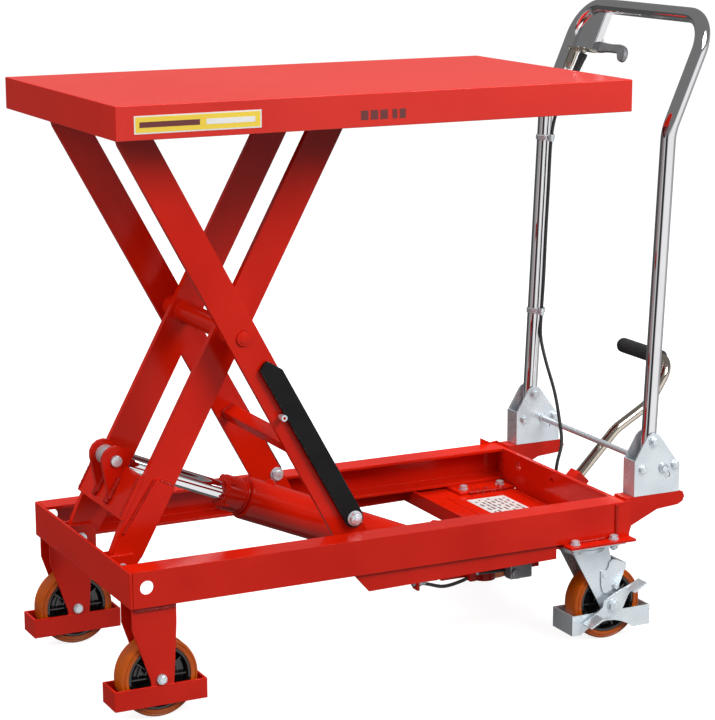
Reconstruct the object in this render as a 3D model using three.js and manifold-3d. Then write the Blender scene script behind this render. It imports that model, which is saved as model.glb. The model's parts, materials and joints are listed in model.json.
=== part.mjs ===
// Hydraulic scissor lift table: wheeled base, single scissor, foot pump, folding push handle.
// Millimetres, +Z up. +X points to the push handle, -Y is the operator's left-hand side.
import * as THREE from 'three';
import { mergeVertices } from 'three/addons/utils/BufferGeometryUtils.js';
import Module from 'manifold-3d';

const wasm = await Module();
wasm.setup();

// ---- driving dimensions -------------------------------------------------------------------
// Everything is laid out round the middle of the platform; the finished table is then moved
// back by originX, so that the origin is under the middle of the whole object.
const originX = 132.75;
const gap = 0.3; // between pieces that touch

const platform = { halfLength: 427.5, halfWidth: 250, depth: 50, top: 930, wall: 4 };
const rail = { outer: 219.4, bottom: 180, top: 237, flange: 43, wall: 4, flangeWall: 5, rear: 457 };
const front = { outer: -412, inner: -407 };
const scissor = { hingeX: -383, hingeZ: 208.5, topZ: 907.5, length: 795, halfWidth: 26 };
const innerArm = { inner: 85, outer: 97, doubler: 101 };
const outerArm = { inner: 140, outer: 150 };
const pinRadius = 8;
const pinHole = 8.5;
const rodPin = 9;
const wheel = { radius: 62.5, width: 38, rim: 50 };
const fixedWheel = { x: -362, y: 188 };
const caster = { swivelX: 391, axleX: 433, y: 182, plateTop: 175.3, plateBottom: 171.3 };
const tray = { skirtOuter: 214, skirtInner: 210, bottom: 150, floorTop: 175, floorBottom: 171 };
const cylinder = { eye: [-359.5, 358], base: [212, 120], radius: 35, bore: 27.5, rod: 15 };
const handle = { y: 193, radius: 12.5, pivot: [510.5, 330], bend: [534.8, 838], bar: [612, 1016.5] };
const outrigger = { inner: 176, outer: 210, top: 240, tip: 573 };
const lockRod = { x: 530, z: 283, radius: 5, travel: 15, direction: [0.543, -0.84] };
const pedal = { y: 12, pivot: [412, 135], tube: 9, grip: 13.5, gripFrom: 44, gripTo: 175 };

const sides = [['left', -1], ['right', 1]];
const armAngle = Math.asin((scissor.topZ - scissor.hingeZ) / scissor.length);

// ---- finishes -----------------------------------------------------------------------------
const finish = (color, roughness, metalness) =>
  new THREE.MeshStandardMaterial({ color, roughness, metalness });
const redPaint = finish(0xc8170f, 0.35, 0.1);
const blackPaint = finish(0x15181a, 0.5, 0.1);
const zinc = finish(0xb9c4cc, 0.35, 0.9);
const chrome = finish(0xd8d8dc, 0.08, 1.0);
const nickel = finish(0xb5aa9c, 0.18, 1.0);
const orangeTyre = finish(0xd9570f, 0.4, 0.0);
const blackPlastic = finish(0x101214, 0.3, 0.0);
const blackRubber = finish(0x1c1d20, 0.75, 0.0);
const castGrey = finish(0x8b8e93, 0.45, 0.8);

// ---- solids -------------------------------------------------------------------------------
// A closed three.js geometry as a solid, whichever way round its faces were wound.
function solidOf(source) {
  const bare = source.index ? source.toNonIndexed() : source.clone();
  for (const name of Object.keys(bare.attributes)) if (name !== 'position') bare.deleteAttribute(name);
  const merged = mergeVertices(bare, 1e-4);
  const faces = [];
  const index = merged.index.array;
  for (let i = 0; i < index.length; i += 3) {
    const [a, b, c] = [index[i], index[i + 1], index[i + 2]];
    if (a !== b && b !== c && c !== a) faces.push(a, b, c);
  }
  const build = (triangles) => new wasm.Manifold(new wasm.Mesh({
    numProp: 3,
    vertProperties: new Float32Array(merged.attributes.position.array),
    triVerts: new Uint32Array(triangles),
  }));
  const solid = build(faces);
  return solid.volume() > 0 ? solid : build(faces.reverse());
}

function geometryOf(solid) {
  const mesh = solid.getMesh();
  const geometry = new THREE.BufferGeometry();
  geometry.setAttribute('position', new THREE.BufferAttribute(new Float32Array(mesh.vertProperties), 3));
  geometry.setIndex(new THREE.BufferAttribute(new Uint32Array(mesh.triVerts), 1));
  geometry.computeVertexNormals();
  return geometry;
}

const join = (first, ...others) => others.reduce((whole, piece) => whole.add(piece), first);
const cut = (first, ...tools) => tools.reduce((rest, tool) => rest.subtract(tool), first);
const middle = ([a, b]) => (a + b) / 2;
const span = ([a, b]) => Math.abs(b - a);

function block(x, y, z) {
  return solidOf(new THREE.BoxGeometry(span(x), span(y), span(z)).translate(middle(x), middle(y), middle(z)));
}

const outline = (points) => new THREE.Shape(points.map(([a, b]) => new THREE.Vector2(a, b)));
const toBasis = (x, y, z) => new THREE.Matrix4().makeBasis(x, y, z);
const unitX = new THREE.Vector3(1, 0, 0);
const unitY = new THREE.Vector3(0, 1, 0);
const unitZ = new THREE.Vector3(0, 0, 1);

function extruded(shape, depth, curveSegments) {
  return new THREE.ExtrudeGeometry(shape, { depth, bevelEnabled: false, curveSegments });
}

// A flat plate whose outline lies in X-Z, from one y to another.
function plate(shape, [y0, y1], curveSegments = 8) {
  const geometry = extruded(shape, Math.abs(y1 - y0), curveSegments);
  return solidOf(geometry.rotateX(Math.PI / 2).translate(0, Math.max(y0, y1), 0));
}

// A long section whose outline lies in Y-Z, from one x to another.
function section(shape, [x0, x1]) {
  const geometry = extruded(shape, x1 - x0, 6);
  return solidOf(geometry.applyMatrix4(toBasis(unitY, unitZ, unitX)).translate(x0, 0, 0));
}

// A round bar along Y, centred on [x, z].
function roundY(radius, [y0, y1], [x, z], count = 12) {
  const geometry = new THREE.CylinderGeometry(radius, radius, Math.abs(y1 - y0), count);
  return solidOf(geometry.translate(x, (y0 + y1) / 2, z));
}

// A round bar along Z, centred on [x, y].
function roundZ(radius, [z0, z1], [x, y], count = 24) {
  const geometry = new THREE.CylinderGeometry(radius, radius, z1 - z0, count).rotateX(Math.PI / 2);
  return solidOf(geometry.translate(x, y, (z0 + z1) / 2));
}

// A solid of revolution about a line along Y through [x, z]; the profile is [radius, y] pairs.
function turnedY(profile, [x, z], count) {
  const points = profile.map(([r, y]) => new THREE.Vector2(r, y));
  return solidOf(new THREE.LatheGeometry(points, count).translate(x, 0, z));
}

// A ring section: rectangle between two radii, from one y to another, closed on itself.
const ring = (r0, r1, y0, y1) => [[r0, y0], [r1, y0], [r1, y1], [r0, y1], [r0, y0]];

// An outline that wraps a circle at each listed [x, z, radius], going round counter-clockwise.
function wrapped(circles, count = 7) {
  const points = [];
  circles.forEach(([x, z, r], i) => {
    const [px, pz, pr] = circles[(i + circles.length - 1) % circles.length];
    const [nx, nz, nr] = circles[(i + 1) % circles.length];
    const tangent = (ax, az, ar, bx, bz, br) => {
      const along = Math.atan2(bz - az, bx - ax);
      return along - Math.acos((ar - br) / Math.hypot(bx - ax, bz - az));
    };
    const from = tangent(px, pz, pr, x, z, r);
    const whole = 2 * Math.PI;
    const turn = (((tangent(x, z, r, nx, nz, nr) - from) % whole) + whole) % whole;
    const steps = Math.max(1, Math.ceil(turn / (Math.PI / count)));
    for (let k = 0; k <= steps; k++) {
      const a = from + (turn * k) / steps;
      points.push([x + r * Math.cos(a), z + r * Math.sin(a)]);
    }
  });
  return outline(points);
}

// A path of straight runs joined by round bends, with rings only where it starts, ends or turns.
class BentPath extends THREE.Curve {
  constructor(corners, radii, perBend = 6) {
    super();
    const at = corners.map((c) => new THREE.Vector3(...c));
    this.rings = [{ point: at[0], tangent: at[1].clone().sub(at[0]).normalize() }];
    for (let i = 1; i < at.length - 1; i++) {
      const into = at[i].clone().sub(at[i - 1]).normalize();
      const out = at[i + 1].clone().sub(at[i]).normalize();
      const turn = into.angleTo(out);
      const reach = radii[i - 1] * Math.tan(turn / 2);
      const axis = into.clone().cross(out).normalize();
      const start = at[i].clone().addScaledVector(into, -reach);
      const centre = start.clone().addScaledVector(axis.clone().cross(into), radii[i - 1]);
      for (let k = 0; k <= perBend; k++) {
        const angle = (turn * k) / perBend;
        this.rings.push({
          point: start.clone().sub(centre).applyAxisAngle(axis, angle).add(centre),
          tangent: into.clone().applyAxisAngle(axis, angle),
        });
      }
    }
    const last = at.length - 1;
    this.rings.push({ point: at[last], tangent: at[last].clone().sub(at[last - 1]).normalize() });
  }
  get steps() { return this.rings.length - 1; }
  getPointAt(u) { return this.rings[Math.round(u * this.steps)].point.clone(); }
  getTangentAt(u) { return this.rings[Math.round(u * this.steps)].tangent.clone(); }
}

function tubeAlong(path, steps, radius, count) {
  const circle = new THREE.Shape();
  circle.absarc(0, 0, radius, 0, 2 * Math.PI);
  return solidOf(new THREE.ExtrudeGeometry(circle, {
    steps, extrudePath: path, bevelEnabled: false, curveSegments: count / 2,
  }));
}

const bentTube = (path, radius, count) => tubeAlong(path, path.steps, radius, count);

// ---- the assembly tree --------------------------------------------------------------------
const table = new THREE.Group();
table.position.x = -originX;

function part(name, solid, material, group = table) {
  const mesh = new THREE.Mesh(geometryOf(solid), material);
  mesh.name = name;
  group.add(mesh);
}

// A group whose +X runs along an arm from its upper or lower pin; +Z is the arm's upper edge.
function armGroup(x, z, angle) {
  const group = new THREE.Group();
  group.position.set(x, 0, z);
  group.rotation.y = angle;
  table.add(group);
  return group;
}

// ---- base frame ---------------------------------------------------------------------------
function sideRail(s) {
  const inner = rail.outer - rail.flange;
  const web = rail.outer - rail.wall;
  const channel = outline([
    [s * inner, rail.bottom], [s * rail.outer, rail.bottom], [s * rail.outer, rail.top],
    [s * inner, rail.top], [s * inner, rail.top - rail.flangeWall], [s * web, rail.top - rail.flangeWall],
    [s * web, rail.bottom + rail.flangeWall], [s * inner, rail.bottom + rail.flangeWall],
  ]);
  const accessHole = roundY(11, [s * 210, s * 225], [-384.5, 211], 20);
  return cut(section(channel, [front.inner + gap, rail.rear]), accessHole);
}

function rearCrossPlate() {
  const reach = rail.outer - rail.flange - 0.4;
  const blank = join(
    block([446, 454], [-reach, reach], [rail.bottom, rail.top]),
    block([446, 454], [-129.4, 129.4], [tray.floorTop - 1.2, rail.bottom + 5]),
  );
  const hole = new THREE.CylinderGeometry(8.5, 8.5, 20, 20).rotateZ(Math.PI / 2).translate(450, 121.6, 217);
  return cut(blank, solidOf(hole), block([440, 460], [0, 12], [218, 222]));
}

// Skirts under the rails, joined by the floor plate that carries the pump.
function pumpTray() {
  const skirt = outline([
    [-40, rail.bottom - gap], [-14, tray.bottom], [325, tray.bottom + 6], [325, rail.bottom - gap],
  ]);
  const pieces = sides.map(([, s]) => plate(skirt, [s * tray.skirtInner, s * tray.skirtOuter]));
  const wide = tray.skirtInner + 1;
  pieces.push(block([270, 339], [-wide, wide], [tray.floorBottom, tray.floorTop]));
  pieces.push(block([300, 445], [-136, 136], [tray.floorBottom, tray.floorTop]));
  pieces.push(block([266, 271], [-wide, wide], [155, rail.bottom - gap]));
  return join(...pieces);
}

// Plate that a swivel caster bolts to, with the outrigger that carries the handle bracket.
function rearCornerBracket(s) {
  const castorPlate = block([335, 459], [s * 130, s * 243], [175.6, 179.7]);
  const endCheek = outline([
    [436, 179], [446, 177], [453, 177.5], [457.5, 181], [459, 187], [459, outrigger.top], [436, rail.top],
  ]);
  const beam = outline([
    [rail.rear + gap, 176], [465, 176], [470, 192], [520, 214], [560, 217],
    [570, 222], [outrigger.tip, 230], [570, 238], [565, outrigger.top], [rail.rear + gap, outrigger.top],
  ]);
  return join(
    castorPlate,
    plate(beam, [s * outrigger.inner, s * outrigger.outer]),
    plate(endCheek, [s * (rail.outer + gap), s * (rail.outer + 3)]),
    block([rail.rear + gap, 459], [s * (outrigger.outer - 1), s * (rail.outer + 2)], [176, outrigger.top]),
  );
}

// Fork of a fixed wheel: two tapered plates, a top plate and the toe guard round the wheel.
function fixedFork(s) {
  const top = rail.bottom - gap;
  const leg = outline([
    [-407, top], [-407, 145], [-379, 62], [-377, 42], [-343, 42], [-341, 62], [-336, 150], [-336, top],
  ]);
  const y = fixedWheel.y;
  const guardOuter = block([-438, -289], [s * (y - 27), s * (y + 27)], [22, 53.5]);
  const guardInner = block([-434, -293], [s * (y - 23), s * (y + 23)], [10, 60]);
  return cut(
    join(
      cut(guardOuter, guardInner),
      plate(leg, [s * (y + 20.5), s * (y + 24.5)]),
      plate(leg, [s * (y - 24.5), s * (y - 20.5)]),
      block([-407, -336], [s * (y - 24.5), s * (y + 24.5)], [top - 4, top]),
    ),
    roundY(pinHole, [s * (y - 40), s * (y + 40)], [fixedWheel.x, wheel.radius]),
  );
}

function fixedAxle(s) {
  const at = [fixedWheel.x, wheel.radius];
  const y = fixedWheel.y;
  return join(
    roundY(pinRadius, [s * (y - 29), s * (y + 28)], at),
    roundY(8.6, [s * (y + 25), s * (y + 31)], at),
    roundY(8.6, [s * (y - 31), s * (y - 25)], at),
  );
}

// Two lugs on a foot, with the pin that an inner arm turns on.
function baseHinge(s) {
  const rearEdge = scissor.hingeX + 26;
  const lug = outline([
    [front.inner + gap, 178], [rearEdge, 178], [rearEdge, 224], [rearEdge - 6, 231], [front.inner + gap, 231],
  ]);
  return join(
    block([front.inner + gap, rearEdge], [s * 78, s * 108], [178, 181.8]),
    plate(lug, [s * 78, s * (innerArm.inner - 0.5)]),
    plate(lug, [s * (innerArm.doubler + 0.5), s * 108]),
    roundY(pinRadius, [s * 76, s * 111], [scissor.hingeX, scissor.hingeZ]),
  );
}

// ---- wheels -------------------------------------------------------------------------------
function tyre([x, y]) {
  const half = wheel.width / 2;
  const r = wheel.radius;
  const inner = wheel.rim + gap;
  const profile = [
    [inner, y - half], [r - 5, y - half], [r, y - half + 7],
    [r, y + half - 7], [r - 5, y + half], [inner, y + half], [inner, y - half],
  ];
  return turnedY(profile, [x, r], 32);
}

function rim([x, y]) {
  const profile = [
    [pinHole, y - 19], [16, y - 19], [18, y - 6], [41, y - 6], [44, y - 17], [wheel.rim, y - 17],
    [wheel.rim, y + 17], [44, y + 17], [41, y + 6], [18, y + 6], [16, y + 19], [pinHole, y + 19], [pinHole, y - 19],
  ];
  return turnedY(profile, [x, wheel.radius], 24);
}

// ---- swivel casters -----------------------------------------------------------------------
function casterTopPlate(s) {
  const inner = s * (caster.y - 43);
  const outer = s * (caster.y + 55);
  return block([341, 443], [inner, outer], [caster.plateBottom, caster.plateTop]);
}

function casterFork(s) {
  const y = caster.y;
  const cheek = wrapped([[433, wheel.radius, 17], [428, 159, 2], [363, 159, 2]]);
  return cut(
    join(
      roundZ(38, [161, caster.plateBottom - gap], [caster.swivelX, s * y], 24),
      block([361.5, 429], [s * (y - 24.4), s * (y + 24.4)], [157, 161.1]),
      plate(cheek, [s * (y + 21.4), s * (y + 24.4)]),
      plate(cheek, [s * (y - 24.4), s * (y - 21.4)]),
    ),
    roundY(pinHole, [s * (y - 40), s * (y + 40)], [caster.axleX, wheel.radius]),
  );
}

// Toe guard hung on the axle, arched under the hub.
function casterGuard(s) {
  const y = caster.y;
  const ear = wrapped([[433, wheel.radius, 14], [409, 46, 1], [457, 46, 1]]);
  return cut(
    join(
      cut(block([358, 508], [s * (y - 31), s * (y + 31)], [18, 52]),
        block([360.5, 505.5], [s * (y - 28.5), s * (y + 28.5)], [10, 60])),
      plate(ear, [s * (y + 28.5), s * (y + 31)]),
      plate(ear, [s * (y - 31), s * (y - 28.5)]),
    ),
    roundY(78.4, [s * (y - 45), s * (y + 45)], [425, -42.4], 36),
    roundY(pinHole, [s * (y - 40), s * (y + 40)], [caster.axleX, wheel.radius]),
  );
}

function casterAxle(s) {
  const at = [caster.axleX, wheel.radius];
  const y = caster.y;
  return join(
    roundY(pinRadius, [s * (y - 35), s * (y + 40)], at),
    roundY(13, [s * (y - 36), s * (y - 31.3)], at, 6),
    roundY(11, [s * (y + 37.4), s * (y + 45)], at, 6),
  );
}

// Rocker plate on the axle with a tread at each end: one presses the brake on, one lifts it.
function brakePedal(s) {
  const y = caster.y;
  const tilt = 0.49;
  const [cx, cz] = [caster.axleX, wheel.radius];
  const point = (along, up) => [
    cx + along * Math.cos(tilt) - up * Math.sin(tilt), cz + along * Math.sin(tilt) + up * Math.cos(tilt),
  ];
  const rocker = outline([
    point(-52, 6), point(-20, 8), point(-12, 17), point(12, 17), point(22, 16), point(52, 12),
    point(52, 8), point(30, -2), point(14, -14), point(-10, -16), point(-30, -6), point(-52, 2),
  ]);
  const tread = (a, b, up) => outline([point(a, up), point(b, up), point(b, up + 3), point(a, up + 3)]);
  return cut(
    join(
      plate(rocker, [s * (y + 34), s * (y + 37)]),
      plate(tread(34, 62, 9), [s * (y + 34), s * (y + 61)]),
      plate(tread(-62, -34, 3), [s * (y + 34), s * (y + 61)]),
    ),
    roundY(pinHole, [s * (y + 20), s * (y + 60)], [cx, cz]),
  );
}

// ---- scissor arms -------------------------------------------------------------------------
const upperPin = [scissor.length, 0];
const pivotAt = [scissor.length / 2, 0];

// Inner arm, from the base hinge at x = 0 to the platform roller.
function innerArmBar(s) {
  const w = scissor.halfWidth;
  const bar = outline([
    [-10, -17], [4, -23], [30, -w], [scissor.length - 40, -w], [scissor.length + 4, -16],
    [scissor.length + 15, -6], [scissor.length + 15, 8], [scissor.length + 5, 16.5], [scissor.length - 60, w],
    [46, w], [8, 22], [-14, 12], [-20, -2],
  ]);
  const doubler = outline([[146, 8], [48, 17], [26, 20], [4, 18], [-12, 8], [-8, -14], [6, -22], [30, -w], [146, -w]]);
  return cut(
    join(
      plate(bar, [s * innerArm.inner, s * innerArm.outer]),
      plate(doubler, [s * (innerArm.outer - 1), s * innerArm.doubler]),
      roundY(pinRadius, [s * (innerArm.outer - 1), s * 130], upperPin),
    ),
    roundY(pinHole, [s * 70, s * 120], [0, 0]),
    roundY(12.5, [s * 70, s * 120], pivotAt, 20),
  );
}

// Outer arm, from the platform hinge at x = 0 down to the roller in the side rail.
function outerArmBar(s) {
  const w = scissor.halfWidth;
  const l = scissor.length;
  const bar = outline([
    [-12, -12], [0, -17], [40, -w], [l - 12, -w], [l + 12, -18], [l + 20, -4], [l + 18, 12], [l + 4, w - 2],
    [l - 10, w], [62, w], [4, 17], [-10, 13], [-17, 0],
  ]);
  return cut(
    join(
      plate(bar, [s * outerArm.inner, s * outerArm.outer]),
      roundY(pinRadius, [s * (outerArm.outer - 1), s * 211], upperPin),
      roundY(9, [s * (outerArm.outer - 1), s * 163], [strut.along, strut.up]),
      roundY(4, [s * (outerArm.outer - 1), s * 165], [strut.stopAlong, strut.stopUp], 12),
    ),
    roundY(pinHole, [s * 130, s * 160], [0, 0]),
    roundY(12.5, [s * 130, s * 160], pivotAt, 20),
  );
}

// Plate across the inner arms with the two ears that hold the piston rod's eye.
function innerCrossPlate() {
  const [eyeAlong, eyeUp] = inArm(cylinder.eye);
  const w = scissor.halfWidth;
  const ear = wrapped([[eyeAlong, eyeUp, 23], [84, w + 4, 2], [164, w + 4, 2]]);
  return cut(
    join(
      block([68, 142], [-innerArm.outer, innerArm.outer], [w + gap, w + 7]),
      block([68, 74], [-innerArm.inner + gap, innerArm.inner - gap], [-14, w + 1]),
      plate(ear, [22, 31]),
      plate(ear, [-31, -22]),
    ),
    block([124, 150], [-22, 22], [w - 5, w + 10]),
    roundY(rodPin + 0.5, [-50, 50], [eyeAlong, eyeUp], 20),
  );
}

// Shaft at the middle of the scissor, with a sleeve between the inner arms and spacer collars.
function scissorShaft() {
  const pieces = [
    roundY(12, [-152, 152], pivotAt, 20),
    roundY(17, [-innerArm.inner + gap, innerArm.inner - gap], pivotAt, 20),
  ];
  for (const [, s] of sides) {
    pieces.push(roundY(19, [s * (innerArm.outer + 0.5), s * (outerArm.inner - 0.5)], pivotAt, 20));
    pieces.push(roundY(10, [s * (outerArm.outer - 1), s * 154.5], pivotAt, 12));
  }
  return join(...pieces);
}

function outerCrossAngle() {
  const reach = outerArm.inner - gap;
  const angle = [[600, -14], [620, -14], [620, -9], [605, -9], [605, 9], [600, 9]];
  return plate(outline(angle), [-reach, reach]);
}

const roller = (radius, s, [y0, y1], at) =>
  turnedY(ring(pinHole, radius, Math.min(s * y0, s * y1), Math.max(s * y0, s * y1)), at, 20);

// Maintenance strut, stowed along the outer face of an outer arm against its stop pin.
const strut = {
  along: scissor.length - 44, up: 15, length: 303, halfWidth: 16, lean: 0.01, y: [151, 159],
  stopAlong: scissor.length - 257, stopUp: -8.5,
};

function safetyStrut(s) {
  const { along, up, length, halfWidth, lean } = strut;
  const point = (d, side) => [
    along - d * Math.cos(lean) - side * Math.sin(lean), up - d * Math.sin(lean) + side * Math.cos(lean),
  ];
  const foot = [-90, -54, -18, 18, 54, 90].map((degrees) => {
    const a = (degrees * Math.PI) / 180;
    return point(-halfWidth * Math.cos(a), halfWidth * Math.sin(a));
  });
  const shape = outline([
    ...foot, point(length - 24, halfWidth), point(length, halfWidth - 14),
    point(length, -halfWidth + 12), point(length - 6, -halfWidth),
  ]);
  return cut(plate(shape, strut.y.map((y) => s * y)), roundY(9.5, [s * 140, s * 170], [along, up]));
}

// ---- platform -----------------------------------------------------------------------------
function platformTop() {
  const { halfLength: a, halfWidth: b, top, depth, wall } = platform;
  const pan = cut(
    block([-a, a], [-b, b], [top - depth, top]),
    block([-a + wall, a - wall], [-b + wall, b - wall], [top - depth - 5, top - wall]),
  );
  const pieces = [pan];
  const x = scissor.hingeX;
  const lug = outline([[x - 18, top - wall + 1], [x - 18, 900], [x - 8, 890], [x + 8, 890], [x + 18, 900],
    [x + 18, top - wall + 1]]);
  for (const [, s] of sides) {
    pieces.push(plate(lug, [s * 132, s * (outerArm.inner - 0.5)]));
    pieces.push(plate(lug, [s * (outerArm.outer + 0.5), s * 158]));
    pieces.push(roundY(pinRadius, [s * 130, s * 160], [x, scissor.topZ]));
  }
  return join(...pieces);
}

function platformTrack(s) {
  const top = platform.top - platform.wall - gap;
  const angle = outline([
    [s * 101, 881], [s * 136, 881], [s * 136, top], [s * 132, top], [s * 132, 885], [s * 101, 885],
  ]);
  return section(angle, [-40, 423]);
}

// ---- hydraulic cylinder, in its own frame: +X from the rod's eye to the base --------------
function turnedX(profile, count = 20) {
  const points = profile.map(([x, r]) => new THREE.Vector2(r, x));
  return solidOf(new THREE.LatheGeometry(points, count).rotateZ(-Math.PI / 2));
}

function cylinderTube() {
  const { radius: r, bore } = cylinder;
  const barrel = [
    [242, bore], [242, r - 2], [244, r], [588, r], [596, r - 6], [596, 0], [582, 0], [582, bore], [242, bore],
  ];
  const base = wrapped([[619, 0, 17], [590, -18, 2], [590, 18, 2]].reverse());
  return join(turnedX(barrel), plate(base, [-14, 14]));
}

function glandNut() {
  const bore = cylinder.rod + 0.7;
  const spigot = cylinder.bore - 0.5;
  return turnedX([
    [203, bore], [203, 26], [205, 28], [233, 28], [233, 25.5], [238, 25.5], [238, 28], [241.7, 28],
    [241.7, spigot], [262, spigot], [262, bore], [203, bore],
  ]);
}

function pistonRod() {
  const { rod, bore } = cylinder;
  const shaft = turnedX([
    [12, 0], [12, rod], [268, rod], [268, bore - 0.5], [288, bore - 0.5], [288, 0],
  ]);
  return cut(join(shaft, roundY(15.5, [-21.5, 21.5], [0, 0], 24)), roundY(rodPin + 0.5, [-40, 40], [0, 0], 20));
}

// ---- pump ---------------------------------------------------------------------------------
// Pump block with its reservoir, the cheeks beside the cylinder's base and the pedal's pivot lugs.
function pumpBody() {
  const [px, pz] = pedal.pivot;
  const cheek = outline([[192, 98], [204, 88], [264, 88], [264, 160], [236, 166], [204, 150], [192, 136]]);
  const lug = wrapped([[px, pz, 13], [390, 150, 2], [390, 106, 2]]);
  const pieces = [
    block([262, 392], [-46, 46], [88, 154.5]),
    block([272, 392], [-46, 46], [150, tray.floorBottom - gap]),
    roundZ(20, [72, 90], [300, -18], 20),
    roundZ(14, [70, 90], [352, -30], 20),
    roundY(pinRadius - 1, [pedal.y - 16, pedal.y + 16], pedal.pivot),
  ];
  for (const [, s] of sides) {
    pieces.push(plate(cheek, [s * 38, s * 46]));
    pieces.push(plate(lug, [pedal.y + s * 9, pedal.y + s * 16]));
  }
  return join(...pieces);
}

// Foot pedal: forged crank under the rear plate, socket, bent tube.
const pedalCorners = [
  [499, pedal.y, 215.5], [578, pedal.y, 295], [645, pedal.y, 333], [690, pedal.y, 404],
  [690, pedal.gripTo - 6, 404],
];

function pedalArm() {
  const [px, pz] = pedal.pivot;
  const crank = outline([
    [px - 6, pz - 12], [px + 8, pz - 13], [470, 136], [500, 166], [504, 200], [494, 214], [478, 210],
    [478, 186], [466, 158], [px + 4, pz + 11], [px - 8, pz + 10], [px - 13, pz],
  ]);
  const socket = new THREE.BoxGeometry(30, 30, 28).rotateY(-Math.PI / 4).translate(496.5, pedal.y, 211);
  return cut(
    join(
      plate(crank, [pedal.y - 8, pedal.y + 8]),
      solidOf(socket),
      bentTube(new BentPath(pedalCorners, [60, 60, 34]), pedal.tube, 10),
    ),
    roundY(pinHole - 1, [pedal.y - 30, pedal.y + 30], pedal.pivot),
  );
}

function pedalGrip() {
  const [x, , z] = pedalCorners[3];
  const { gripFrom, gripTo, grip, tube } = pedal;
  const sleeve = turnedY([
    [tube + 0.6, gripFrom], [grip - 2, gripFrom], [grip, gripFrom + 3], [grip, gripTo - 5], [grip - 4, gripTo],
    [0, gripTo], [0, gripTo - 5], [tube + 0.6, gripTo - 5], [tube + 0.6, gripFrom],
  ], [x, z], 16);
  return sleeve;
}

// ---- push handle --------------------------------------------------------------------------
// U-shaped bracket: a front web and two cheeks with the slot that the lock rod slides in.
function handleBracket(s) {
  const [px, pz] = handle.pivot;
  const foot = outrigger.top + gap;
  const cheek = wrapped([[px, pz - 2, 16], [474.5, 298, 0.5], [474.5, foot + 0.5, 0.5],
    [561.5, foot + 0.5, 0.5], [561.5, 285, 0.5]]);
  const { x, z, radius, travel, direction: [dx, dz] } = lockRod;
  const slot = wrapped([[x, z, radius + 0.7], [x + travel * dx, z + travel * dz, radius + 0.7]]);
  const y = [outrigger.inner, outrigger.outer];
  return cut(
    join(
      plate(cheek, [s * y[0], s * (y[0] + 3)]),
      plate(cheek, [s * (y[1] - 3), s * y[1]]),
      block([474, 477], [s * y[0], s * y[1]], [foot, 300]),
      block([474, 562], [s * y[0], s * y[1]], [foot, foot + 3]),
    ),
    plate(slot, [s * 165, s * 220]),
    roundY(6.4, [s * 165, s * 220], handle.pivot),
  );
}

// Bent chrome tube with its two pivot bolts and the plate that carries the release lever.
function handleTube() {
  const { y, radius, pivot, bend, bar } = handle;
  const foot = [pivot[0] - 1.7, 292];
  const leg = (s) => [[foot[0], s * y, foot[1]], [bend[0], s * y, bend[1]], [bar[0], s * y, bar[1]]];
  const path = new BentPath([...leg(-1), ...leg(1).reverse()], [90, 60, 60, 90], 6);
  const pieces = [bentTube(path, radius, 12)];
  for (const [, s] of sides) {
    pieces.push(roundY(6, [s * (outrigger.inner - 5), s * (outrigger.outer + 5)], pivot, 12));
    pieces.push(roundY(9, [s * (outrigger.outer + 0.6), s * (outrigger.outer + 6)], pivot, 6));
    pieces.push(roundY(9, [s * (outrigger.inner - 6), s * (outrigger.inner - 0.6)], pivot, 6));
  }
  const lean = Math.atan2(bar[0] - bend[0], bar[1] - bend[1]);
  const hanger = new THREE.BoxGeometry(3, 66, 74).rotateY(lean).translate(596, 149, 979);
  const tab = new THREE.BoxGeometry(14, 84, 3).rotateY(lean).translate(579, 152, 942);
  const stud = new THREE.CylinderGeometry(5, 5, 22, 12).rotateZ(Math.PI / 2).rotateY(lean)
    .translate(...leverPivot);
  pieces.push(solidOf(hanger), solidOf(tab), solidOf(stud));
  return join(...pieces);
}

// ---- release lever and cable --------------------------------------------------------------
const leverPivot = [590, 134, 953];

// Curved cast finger lever, drawn flat and then leaned back with the handle's upper part.
function releaseLever() {
  const { bend, bar } = handle;
  const lean = Math.atan2(bar[0] - bend[0], bar[1] - bend[1]);
  const shape = new THREE.Shape();
  shape.moveTo(-11, 6);
  shape.quadraticCurveTo(-14, -8, 0, -11);
  shape.bezierCurveTo(12, -13, 22, -12, 34, -10);
  shape.bezierCurveTo(46, -9, 62, -9, 72, -9);
  shape.bezierCurveTo(80, -9, 81, -14, 85, -19);
  shape.quadraticCurveTo(95, -27, 103, -19);
  shape.bezierCurveTo(107, -8, 100, 7, 77, 6.5);
  shape.bezierCurveTo(62, 5, 40, 4, 14, 9);
  shape.quadraticCurveTo(8, 22, -2, 24);
  shape.quadraticCurveTo(-10, 22, -11, 6);
  const flat = new THREE.ExtrudeGeometry(shape, { depth: 9, bevelEnabled: false, curveSegments: 5 });
  // outline X runs inwards along -Y, outline Y runs up the handle
  const up = new THREE.Vector3(Math.sin(lean), 0, Math.cos(lean));
  const inward = new THREE.Vector3(0, -1, 0);
  const across = inward.clone().cross(up);
  const offset = across.clone().multiplyScalar(-13.5);
  const place = toBasis(inward, up, across).setPosition(...leverPivot.map((v, i) => v + offset.getComponent(i)));
  const bore = new THREE.CylinderGeometry(5.6, 5.6, 60, 12).rotateZ(Math.PI / 2).rotateY(lean)
    .translate(...leverPivot);
  return cut(solidOf(flat.applyMatrix4(place)), solidOf(bore));
}

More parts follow.
